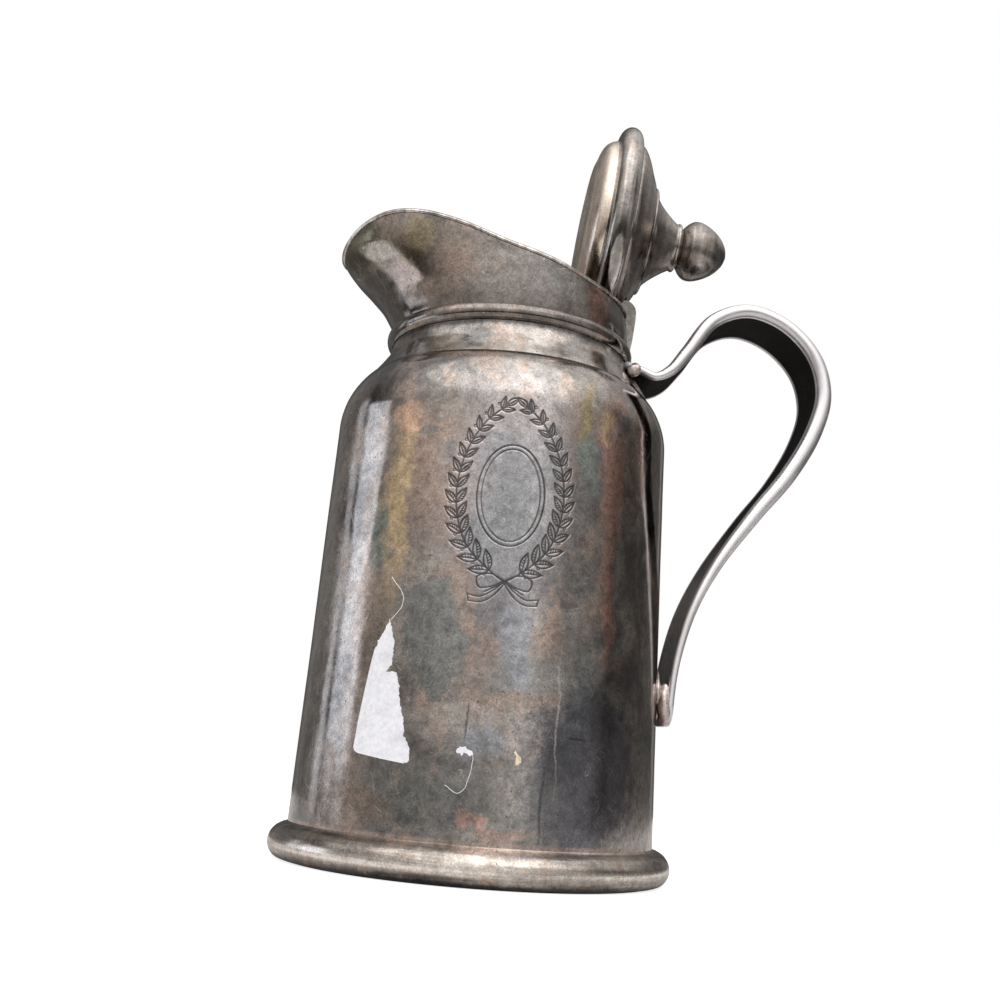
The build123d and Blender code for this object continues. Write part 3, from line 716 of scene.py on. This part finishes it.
def make_body():
    """Wall of the body, fine enough where it is engraved to hold the cut lines."""
    half_angle = ENGRAVING_HALF[0] / UNROLL_RADIUS
    fine = np.arange(-half_angle, half_angle, FINE_STEP / UNROLL_RADIUS)
    coarse = np.linspace(half_angle, 2 * math.pi - half_angle, 190, endpoint=False)
    angle = np.concatenate([fine, coarse]) + ENGRAVING_TURN
    low = np.linspace(LEDGE, ENGRAVING_HEIGHT - ENGRAVING_HALF[1], 40, endpoint=False)
    heights = np.concatenate([low, np.arange(low[-1] + 1, SHOULDER_START, FINE_STEP)])
    wall = np.stack([wall_radius(heights), heights], axis=1)
    outer = np.vstack([wall, smooth(body_profile(0.0), 3)])
    foot = (BODY_RADIUS - WALL, LEDGE)
    straight = segment(foot, (SHOULDER_START_RADIUS - WALL, SHOULDER_START), 12)
    inner = np.vstack([straight[:-1], body_profile(-WALL)])[::-1]
    radius, height = np.hsplit(np.vstack([outer, inner]), 2)
    cut = np.zeros((len(radius), len(angle)))
    cut[:len(outer)] = engraving_depth(*np.broadcast_arrays(
        (angle - ENGRAVING_TURN) * UNROLL_RADIUS, outer[:, 1:] - ENGRAVING_HEIGHT
    ))
    swayed = radius - STROKE_DEPTH * cut + wall_sway(around(radius, angle, height))
    obj = piece("body_wall", around(swayed, angle, height), grid_faces(*cut.shape, True, True),
                body_metal, "body_silver", ["body_shell"])
    store(obj, "groove", cut)


make_body()


# Torn paper label and scraps of paper, as (turn in degrees, height in millimetres) on the wall
LABEL = [
    (-130.85, 25.9), (-130.2, 31.5), (-129.1, 37.5), (-127.9, 43.6), (-127.11, 46.87),
    (-126.24, 48.48), (-124.46, 50.68), (-122.84, 53.53), (-120.3, 48.37), (-120.4, 43.64),
    (-122.19, 42.16), (-118.82, 42.2), (-117.25, 38.65), (-115.87, 34.83), (-114.86, 32.27),
    (-114.26, 29.81), (-112.07, 26.22), (-111.9, 24.6), (-112.3, 23.7), (-113.28, 23.39),
    (-121.0, 24.0), (-128.93, 24.73), (-130.2, 25.1),
]
LABEL_STRAIGHT = {0, 1, 2, 3, 19, 20, 21, 22}
SCRAP = [
    (-98.71, 26.78), (-97.95, 27.44), (-96.6, 27.82), (-95.43, 27.28), (-94.29, 27.05),
    (-93.8, 26.37), (-95.01, 26.09), (-96.17, 26.53), (-97.21, 25.86), (-97.83, 26.43),
]
SCRAP_TWO = [
    (-82.74, 27.53), (-82.19, 27.77), (-81.4, 27.0), (-80.47, 26.34), (-80.39, 25.43),
    (-81.19, 24.88), (-82.2, 25.02), (-82.01, 25.95), (-81.95, 26.76),
]
HAIRS = [
    [(-94.68, 26.82), (-93.88, 25.85), (-93.99, 24.43), (-94.22, 22.81), (-94.95, 20.75),
     (-95.44, 19.52), (-96.49, 18.66), (-97.56, 18.34), (-99.14, 18.9), (-100.33, 19.53),
     (-101.0, 19.79)],
    [(-123.8, 62.78), (-122.13, 61.45), (-120.33, 60.13), (-119.01, 58.39), (-119.19, 56.42),
     (-120.63, 54.87), (-122.31, 53.54)],
]


def unrolled(places):
    """Points on the unrolled wall, from turns in degrees and heights."""
    return np.array([(math.radians(turn) * UNROLL_RADIUS, height) for turn, height in places])


def on_wall(flat, lift):
    """Points over the wall, from points on the unrolled wall and a lift in millimetres."""
    angle, height = flat[:, 0] / UNROLL_RADIUS, flat[:, 1]
    radius = wall_radius(height)
    sway = wall_sway(around(radius, angle, height))
    return around(radius + sway + lift, angle, height)


def torn(corners, straight, rng, step=0.22, tear=0.10):
    """Outline through corners, with ragged points on its torn edges."""
    corners = unrolled(corners)
    points = []
    for k, start in enumerate(corners):
        run = corners[(k + 1) % len(corners)] - start
        count = max(2, int(np.linalg.norm(run) / step))
        across = np.array([-run[1], run[0]]) / np.linalg.norm(run)
        wander = 0.0
        for i in range(count):
            wander = 0.6 * wander + rng.normal() * tear
            shift = 0.0 if k in straight or i == 0 else wander
            points.append(start + run * i / count + across * shift)
    return np.array(points)


def paper_piece(name, outline, thickness, spacing, material):
    """Thin closed sheet with an outline given on the unrolled wall."""
    low, high = outline.min(0), outline.max(0)
    inside = [
        Vector((x, y))
        for x in np.arange(low[0] + spacing, high[0], spacing)
        for y in np.arange(low[1] + spacing, high[1], spacing)
    ]
    count = len(outline)
    loop = [(i, (i + 1) % count) for i in range(count)]
    places = [Vector(place) for place in outline] + inside
    flat, _, triangles, *_ = delaunay_2d_cdt(places, loop, [], 1, 1e-6)
    flat = np.array([tuple(place) for place in flat])
    sides = [(t[i], t[(i + 1) % 3]) for t in triangles for i in range(3)]
    known, below = set(sides), len(flat)
    faces = [tuple(t) for t in triangles]
    faces += [tuple(i + below for i in reversed(t)) for t in triangles]
    faces += [(b, a, a + below, b + below) for a, b in sides if (b, a) not in known]
    points = np.vstack([on_wall(flat, thickness), on_wall(flat, -0.02)])
    piece(name, points, faces, material, None).data.set_sharp_from_angle(angle=SHARP)


def make_label():
    """Label remnant, two scraps and two stray fibres."""
    rng = np.random.default_rng(7)
    paper_piece("paper_label", torn(LABEL, LABEL_STRAIGHT, rng), 0.13, 0.9, label_paper)
    paper_piece("paper_scrap_one", torn(SCRAP, set(), rng, 0.2, 0.10), 0.16, 0.5, label_paper)
    paper_piece("paper_scrap_two", torn(SCRAP_TWO, set(), rng, 0.2, 0.05), 0.16, 0.5, cream_paper)
    for number, hair in enumerate(HAIRS):
        line = smooth(unrolled(hair), 10)
        run = np.gradient(line, axis=0)
        run /= np.linalg.norm(run, axis=1)[:, None]
        side = np.stack([-run[:, 1], run[:, 0]], axis=1) * 0.055
        outline = np.vstack([line + side, (line - side)[::-1]])
        paper_piece(f"paper_fibre_{number}", outline, 0.10, 5.0, label_paper)


make_label()

# Foot, bead and base
foot_centre = FOOT_RADIUS - FOOT_BULGE
foot_profile = np.vstack([
    segment((FOOT_BORE + 0.3, 0), (foot_centre - 0.4, 0), 4),
    smooth([
        (foot_centre + 0.3, 0.02), (45.9, 0.55), (47.0, 1.75), (FOOT_RADIUS, 3.5), (47.15, 5.25),
        (46.2, 6.6), (44.9, 7.45), (43.8, 7.85), (43.25, FOOT_TOP - 0.05),
    ], 7),
    segment((43.0, FOOT_TOP - 0.2), (43.3, LEDGE), 3),
    segment((42.5, LEDGE), (FOOT_BORE, LEDGE), 3),
    segment((FOOT_BORE, LEDGE - 0.3), (FOOT_BORE, 0.3), 2),
])
vertices, faces = lathe(foot_profile, 256)
foot_sway = unevenness(vertices, 30, 9)[:, None]
lift = np.clip(vertices[:, 2:] / 3, 0, 1)
vertices = vertices * (1 - 0.0012 * lift * (1 + foot_sway) * np.array([1, 1, 0]))
piece("foot_rim", vertices, faces, foot_metal, "body_silver", ["foot_ring"])

bead_profile = np.vstack([
    arc((BEAD_CENTRE_RADIUS, NECK_TOP), BEAD_RADIUS, -62, 62, 30),
    segment((NECK_RADIUS, NECK_TOP + 1.9), (NECK_RADIUS, NECK_TOP - 1.9), 3),
])
piece("neck_bead_ring", *lathe(bead_profile, 256), collar_metal, "rim_silver", ["neck_bead"])


# Collar
collar_table = smooth(COLLAR_SECTIONS, 12).T
rim_table = smooth(RIM_LINE, 10).T


def collar_row(angle, z, offset=0.0):
    """Points on the collar at plan angles and heights; the spout is at 180 degrees."""
    reach, half, back = (np.interp(z, collar_table[0], values) for values in collar_table[1:])
    long = np.where(np.cos(angle) < 0, reach, back) + offset
    return np.stack([long * np.cos(angle), (half + offset) * np.sin(angle), z], axis=1)


def rim_height(angle):
    """Height of the rim at plan angles."""
    z = np.full_like(angle, 146.0)
    for _ in range(40):
        z = 0.5 * z + 0.5 * np.interp(collar_row(angle, z)[:, 0], *rim_table)
    return z


def make_collar():
    """Collar and spout as one thin wall with a rounded rim."""
    angle = full_turn(320)
    edge = rim_height(angle) - RIM_ROUND
    heights = [COLLAR_FOOT + (edge - COLLAR_FOOT) * t for t in np.linspace(0, 1, 60) ** 0.9]
    rows = [collar_row(angle, z) for z in heights]
    for turn in np.radians([30, 60, 90, 120, 150]):
        offset = -WALL / 2 + WALL / 2 * math.cos(turn)
        rows.append(collar_row(angle, edge + RIM_ROUND * math.sin(turn), offset))
    rows += [collar_row(angle, z, -WALL) for z in heights[::-2]]
    points = np.array(rows)
    sway = unevenness(points, 34, 21) * 0.10
    fade = np.clip((points[..., 2] - 131) / 6, 0, 1)
    points[..., :2] *= (1 + sway * fade / 30)[..., None]
    faces = grid_faces(len(rows), len(angle), True, True)
    piece("collar_wall", points, faces, collar_metal, "body_silver", ["spout_collar"])


def make_rim_wire():
    """Half-round wire along the outside of the rim, left out behind the hinge."""
    gap = math.asin(HINGE_GAP_HALF / RIM_BACK_RADIUS)
    angle = np.linspace(gap, 2 * math.pi - gap, 300)
    top = rim_height(angle)
    rows = [collar_row(angle, top + drop, offset) for offset, drop in RIM_WIRE_SECTION]
    faces = grid_faces(len(rows), len(angle), True, False)
    starts = range(0, len(rows) * len(angle), len(angle))
    faces += [tuple(starts), tuple(start + len(angle) - 1 for start in reversed(starts))]
    piece("rim_band", rows, faces, ring_metal, "rim_silver", ["rim_wire"])


make_collar()
make_rim_wire()


# Handle
def strap_section(width, half, channel):
    """Closed section of the strap: places across and outwards, share of painted highlight on the
    edges and share of painted shade inside.
    """
    flat = width - half
    face = np.linspace(-flat, flat, 61)
    crown = -0.16 * (face / width) ** 2
    dip = channel * np.clip(1 - (face / flat) ** 4, 0, 1)
    bend = np.radians(np.linspace(90, -90, 17)[1:-1])
    right = np.stack([flat + half * np.cos(bend), half * np.sin(bend)], axis=1)
    left = right[::-1] * np.array([-1, 1])
    outer = np.stack([face, half + crown], axis=1)
    inner = np.stack([face, -half + dip], axis=1)[::-1]
    # Share of painted highlight, rising towards the edges, and share of painted shade on the inner
    # face
    edge = np.clip(1 - (flat - np.abs(face)) / 3.0, 0.5, 1)
    inside = np.clip((flat - 0.1 - np.abs(face)) / 0.6, 0, 1)[::-1]
    ones, noughts = np.ones(len(bend)), np.zeros(len(bend))
    edges = np.concatenate([edge, ones, edge[::-1] * (1 - inside), ones])
    painted_shade_shares = np.concatenate([0 * face, noughts, inside, noughts])
    return np.column_stack([np.vstack([outer, right, inner, left]), edges, painted_shade_shares])


def make_handle():
    """Strap with rounded edges and a shallow channel inside, painted highlight along its edges and
    painted shade in the channel.
    """
    line = smooth(HANDLE_LINE, 22)
    tangent = np.gradient(line[:, :2], axis=0)
    tangent /= np.linalg.norm(tangent, axis=1)[:, None]
    normal = np.stack([tangent[:, 1], -tangent[:, 0]], axis=1)
    drop = np.clip(HANDLE_LINE[0, 1] + TIP_ROUND - line[:, 1], 0, None)
    round_in = np.sqrt(np.clip(TIP_ROUND**2 - drop**2, 0.3, None))
    half_width = HANDLE_WIDTH / 2 - TIP_ROUND + round_in
    along = np.linspace(0, 1, len(line))
    depth = CHANNEL_DEPTH * np.clip(along / 0.1, 0, 1) * np.clip((1 - along) / 0.14, 0, 1)
    across, out, edges, painted_shade_shares = np.moveaxis([
        strap_section(width, thickness / 2, dip)
        for width, thickness, dip in zip(half_width, line[:, 2], depth)
    ], -1, 0)
    x, z = (line[:, k, None] + normal[:, k, None] * out for k in (0, 1))
    curve_in = NECK_RADIUS - np.sqrt(NECK_RADIUS**2 - across**2)
    x = x - np.clip((along - 0.93) / 0.07, 0, 1)[:, None] * curve_in
    obj = piece("handle", np.stack([x, across, z], axis=-1), tube_faces(*x.shape), handle_metal,
                "handle_silver", ["handle_strap"])
    obj.data.set_sharp_from_angle(angle=math.radians(50))
    # Painted highlight along the edges, dimmed at the upper end; painted shade on the inner face,
    # weaker low down and deepest at the upper end
    painted_shade_by_height = np.clip((z - 62) / 26, 0.25, 1)
    scroll = np.clip((1 - along) / SCROLL_SHARE, 0, 1)[:, None]
    store(obj, "edge", edges * (0.3 + 0.7 * scroll))
    store(obj, "inner", np.maximum(painted_shade_shares * painted_shade_by_height, 0.9 * (1 - scroll)))


def blob(name, centre, size, turn, seed):
    """Uneven lump of solder: a squashed ball with shallow hollows."""
    rings, columns = 12, 22
    polar = np.linspace(0, math.pi, rings + 2)[1:-1, None]
    ball = around(np.sin(polar), full_turn(columns), np.cos(polar)).reshape(-1, 3)
    ball = np.vstack([ball, [(0, 0, 1)], [(0, 0, -1)]])
    ball *= (1 + 0.14 * unevenness(ball * 3, 4.0, seed))[:, None]
    points = tipped(ball * np.array(size), turn, (0, 0)) + np.array(centre)
    faces = [face[::-1] for face in grid_faces(rings, columns, False, True)]
    top, last = len(ball) - 2, (rings - 1) * columns
    faces += [(top, j, (j + 1) % columns) for j in range(columns)]
    faces += [(top + 1, last + (j + 1) % columns, last + j) for j in range(columns)]
    piece(name, points, faces, solder_metal, "handle_silver")


def make_lower_pad():
    """Oval pad with a rounded rim, soldered to the wall under the strap's tip."""
    rows = []
    turn = full_turn(72)
    for share, lift in PAD_SECTION:
        y = PAD_HALF_WIDTH * share * np.cos(turn)
        z = PAD_LEVEL + PAD_HALF_HEIGHT * share * np.sin(turn)
        radius = wall_radius(z) + lift
        rows.append(np.stack([np.sqrt(radius**2 - y**2), y, z], axis=1))
    piece("lower_pad", rows, tube_faces(len(rows), len(turn)), solder_metal, "handle_silver",
          ["handle_lower_pad"])


make_handle()
make_lower_pad()
blob("solder_lump", (31.4, -9.1, 124.8), (1.7, 1.6, 1.9), 0.35, 5)
blob("solder_lump_low", (43.6, -8.3, 41.6), (1.7, 1.6, 5.0), 0.0, 8)


# Lid
def keep_largest(mesh):
    """Drop slivers left by a cut: keep the largest group of faces that clean edges join."""
    shape = bmesh.new()
    shape.from_mesh(mesh)
    bmesh.ops.triangulate(shape, faces=shape.faces)
    bmesh.ops.remove_doubles(shape, verts=shape.verts, dist=1e-7)
    left, groups = set(shape.faces), []
    while left:
        group, waiting = set(), {left.pop()}
        while waiting:
            face = waiting.pop()
            group.add(face)
            clean = [edge.link_faces for edge in face.edges if len(edge.link_faces) == 2]
            found = {other for faces in clean for other in faces} & left
            left -= found
            waiting |= found
        groups.append(group)
    largest = max(groups, key=len)
    spare = [face for face in shape.faces if face not in largest]
    bmesh.ops.delete(shape, geom=spare, context="FACES")
    shape.to_mesh(mesh)
    shape.free()


def cut_pocket(obj):
    """Cut the hinge's pocket out of a lid piece."""
    wide, tall = CUTTER_SIZE
    corners = np.array([
        (LID_AXIS_X + POCKET_RADIUS + x, y, LID_LEVEL + POCKET_FLOOR + z)
        for x in (0, wide) for y in (-POCKET_HALF, POCKET_HALF) for z in (0, tall)
    ])
    quads = [(0, 1, 3, 2), (4, 6, 7, 5), (0, 4, 5, 1), (2, 3, 7, 6), (0, 2, 6, 4), (1, 5, 7, 3)]
    mesh = bpy.data.meshes.new("cutter")
    mesh.from_pydata((tipped(corners, OPEN_ANGLE, PIN) * MM).tolist(), [], quads)
    cutter = add_object("cutter", mesh)
    modifier = obj.modifiers.new("pocket", "BOOLEAN")
    modifier.operation = "DIFFERENCE"
    modifier.solver = "EXACT"
    modifier.object = cutter
    bpy.context.view_layer.update()
    graph = bpy.context.evaluated_depsgraph_get()
    result = bpy.data.meshes.new_from_object(obj.evaluated_get(graph))
    obj.modifiers.clear()
    obj.data = result
    keep_largest(result)
    result.shade_smooth()
    result.set_sharp_from_angle(angle=SHARP)
    bpy.data.objects.remove(cutter)


def lid_piece(name, profile, material, slot, node, cut=False, count=192):
    """Lid piece from a profile of (radius, level) on the lid's axis."""
    vertices, faces = lathe(profile + np.array([0.0, LID_LEVEL]), count)
    vertices[:, 0] += LID_AXIS_X
    vertices = tipped(vertices, OPEN_ANGLE, PIN)
    obj = piece(name, vertices, faces, material, slot, [node], "lid")
    if cut:
        cut_pocket(obj)


dome_top = smooth([
    (24.3, -1.0), (24.0, 0.9), (22.8, 2.1), (20.6, 3.45), (17.9, 4.75), (15.6, 5.9), (14.35, 6.45),
    (14.15, 6.95), (13.7, 7.2), (13.0, 7.15), (11.6, 7.9), (9.75, 9.6), (8.2, 11.4), (7.0, 13.0),
    (6.25, 14.3), (6.45, 14.85), (6.3, 15.3), (5.6, 15.6), (1.6, 15.6),
], 7)
dome_low = smooth([
    (1.6, 14.3), (5.3, 13.9), (6.1, 12.4), (7.3, 10.8), (8.9, 8.9), (10.8, 7.1), (12.6, 6.2),
    (14.6, 5.3), (17.3, 4.0), (20.0, 2.6), (22.2, 0.9), (23.2, -1.2),
], 5)
dome_profile = np.vstack([
    dome_top, dome_low,
    segment((23.3, -2.0), (23.3, -6.0), 5), segment((24.3, -6.0), (24.3, -2.0), 5),
])
lid_piece("lid_dome", dome_profile, lid_metal, "lid_silver", "lid_shell", True)

flange_profile = np.vstack([
    segment((24.3, -5.6), (24.9, -5.6), 2),
    arc((24.9, -2.7), 3.29, -84, 84, 34, 2.9 / 3.29),
    smooth([(24.9, 0.2), (24.6, 0.28), (24.3, 0.2)], 4),
    segment((24.3, 0.0), (24.3, -5.4), 4),
])
lid_piece("lid_flange", flange_profile, ring_metal, "rim_silver", "lid_flange_ring", True)

pan_outer = smooth([
    (0.05, -10.9), (10.0, -10.9), (16.6, -10.75), (18.6, -10.2), (20.8, -9.6), (22.4, -8.8),
    (23.4, -7.7), (23.9, -6.7), (24.1, -6.0),
], 8)
pan_inner = smooth([
    (23.1, -6.0), (22.6, -7.3), (21.6, -8.2), (18.0, -9.3), (10.0, -9.9), (0.05, -9.9),
], 6)
lid_piece("lid_lining", np.vstack([pan_outer, pan_inner]), pan_metal, "lid_silver", "lid_pan")

knob_profile = np.vstack([
    smooth([
        (1.5, 15.6), (4.9, 15.6), (5.1, 15.9), (5.7, 16.35), (6.9, 17.4), (7.75, 18.7), (7.9, 20.2),
        (7.6, 21.6), (6.5, 24.0), (4.8, 26.3), (2.4, 28.1), (0.05, 28.8),
    ], 8),
    segment((0.05, 20.6), (1.5, 20.6), 2),
])
lid_piece("knob", knob_profile, lid_metal, "lid_silver", "finial_knob", count=128)

# Finishes of the nodes that stay as they are
FINISHES = [
    (body_metal, ["base_plate"]),
    (plate_metal, ["hinge_back_plate", "hinge_arms", "handle_upper_pad"]),
    (fitting_metal, ["lid_rest_tabs", "hinge_pin", "lid_hinge_pocket", "lid_hinge_leaf",
                     "finial_stud", "finial_washer", "finial_nut"]),
]
for material, nodes in FINISHES:
    for node in nodes:
        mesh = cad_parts[node].data
        mesh.materials.clear()
        mesh.materials.append(material)

# Camera, floor and light
fwd = Vector((
    math.sin(CAMERA_YAW) * math.cos(CAMERA_PITCH),
    math.cos(CAMERA_YAW) * math.cos(CAMERA_PITCH),
    math.sin(CAMERA_PITCH),
))
right = Vector((math.cos(CAMERA_YAW), -math.sin(CAMERA_YAW), 0))
up = right.cross(fwd)
rolled_right = right * math.cos(CAMERA_ROLL) + up * math.sin(CAMERA_ROLL)
rolled_up = up * math.cos(CAMERA_ROLL) - right * math.sin(CAMERA_ROLL)
axes = Matrix((rolled_right, rolled_up, -fwd)).transposed().to_4x4()
camera_data = bpy.data.cameras.new("camera")
camera_data.lens = CAMERA_LENS
camera_data.sensor_width = 36
camera_data.clip_start = 0.01
camera = add_object("camera", camera_data)
camera.matrix_world = (
    Matrix.Translation(CAMERA_PLACE) @ Matrix.Rotation(PLANE_TURN, 4, "Z") @ axes
)
bpy.context.scene.camera = camera

FLOOR_RADIUS = 0.40
floor_mesh = bpy.data.meshes.new("floor")
floor_edge = around(FLOOR_RADIUS, full_turn(96), 0.0).tolist()
floor_mesh.from_pydata(floor_edge, [], [tuple(range(len(floor_edge)))])
floor = add_object("floor", floor_mesh)
floor_material, tree, shader = new_material("floor_paint")
seen = tree.node("ShaderNodeLightPath").outputs["Is Camera Ray"]
tree.fill(shader, {
    "Base Color": (0.66, 0.65, 0.64, 1), "Roughness": 0.95, "Emission Color": (1, 1, 1, 1),
    "Emission Strength": tree.times(seen, 0.80),
})
floor_mesh.materials.append(floor_material)

light_data = bpy.data.lights.new("top_light", "AREA")
light_data.shape = "ELLIPSE"
light_data.size, light_data.size_y = 2.6, 2.0
light_data.energy = 9.5
light = add_object("top_light", light_data)
light.location = (-0.10, -0.75, 1.5)
aim = Vector((0, 0, 0.09)) - light.location
light.rotation_euler = aim.to_track_quat("-Z", "Y").to_euler()

# The studio round the object: a window on the left, a pale wall ahead, a dark side on the right
world = bpy.data.worlds.new("studio")
bpy.context.scene.world = world
world.use_nodes = True
sky = Tree(world.node_tree)
background = world.node_tree.nodes["Background"]
direction = sky.node("ShaderNodeTexCoord").outputs["Generated"]
parts = sky.node("ShaderNodeSeparateXYZ", {0: direction}).outputs
level_part = sky.node("ShaderNodeCombineXYZ", {"X": parts[0], "Y": parts[1]}).outputs[0]
level_way = sky.vector("NORMALIZE", level_part)


def smooth_step(value, start, end, strength):
    return sky.ramp(value, start, end, 0.0, strength, interpolation_type="SMOOTHSTEP")


def facing(way, towards):
    return sky.vector("DOT_PRODUCT", way, Vector(towards).normalized(), output="Value")


def glow(towards, start, end, strength):
    """Soft bright region of the studio around a direction."""
    return smooth_step(facing(direction, towards), start, end, strength)


def strip(turn, half_width, edge, strength, low=-0.35, high=0.9, fade=0.1):
    """Upright bright strip at a turn about Z, in degrees, between two slopes of view."""
    towards = (math.cos(math.radians(turn)), math.sin(math.radians(turn)), 0)
    outer = math.cos(math.radians(half_width + edge))
    inner = math.cos(math.radians(half_width))
    across = smooth_step(facing(level_way, towards), outer, inner, strength)
    upper = smooth_step(parts[2], high + fade, high, 1.0)
    lower = smooth_step(parts[2], low - fade, low, 1.0)
    return sky.times(across, sky.times(upper, lower))


STUDIO = [
    (strip(170, 9, 3, 1.55, low=0.03, high=0.30, fade=0.06), (0.86, 0.93, 1.06)),
    (strip(176, 16, 4, 1.4, high=-0.12, fade=0.05), (0.88, 0.93, 1.04)),
    (strip(151, 3, 2, 0.9, low=0.0, high=0.34), (0.90, 0.94, 1.02)),
    (strip(130, 10, 14, 0.12), (1.0, 0.98, 0.96)),
    (strip(-150, 22, 24, 0.34, low=0.02, fade=0.2), (1.0, 0.98, 0.95)),
    (strip(-86, 8, 34, 0.47, low=0.02, fade=0.2), (1.0, 0.97, 0.95)),
    (strip(-46, 12, 28, 0.38, low=0.02, fade=0.2), (1.0, 0.97, 0.95)),
    (strip(60, 2, 2, 0.2), (1.0, 0.97, 0.94)),
    (glow((-0.10, -0.45, 1.0), 0.30, 0.97, 0.85), (1.0, 0.98, 0.985)),
    (glow((0.6, 0.3, 0.9), 0.78, 0.97, 0.42), (1.0, 0.98, 0.96)),
    (strip(15, 28, 20, 0.036), (1.0, 0.90, 0.85)),
]
seen_light = (0.10, 0.097, 0.094)
for strength, tint in STUDIO:
    seen_light = sky.vector("ADD", sky.dim(tint, strength), seen_light)
camera_ray = sky.node("ShaderNodeLightPath").outputs["Is Camera Ray"]
sky.fill(background, {"Color": sky.mix(camera_ray, seen_light, (1, 1, 1))})

bpy.context.scene.view_settings.view_transform = "Standard"
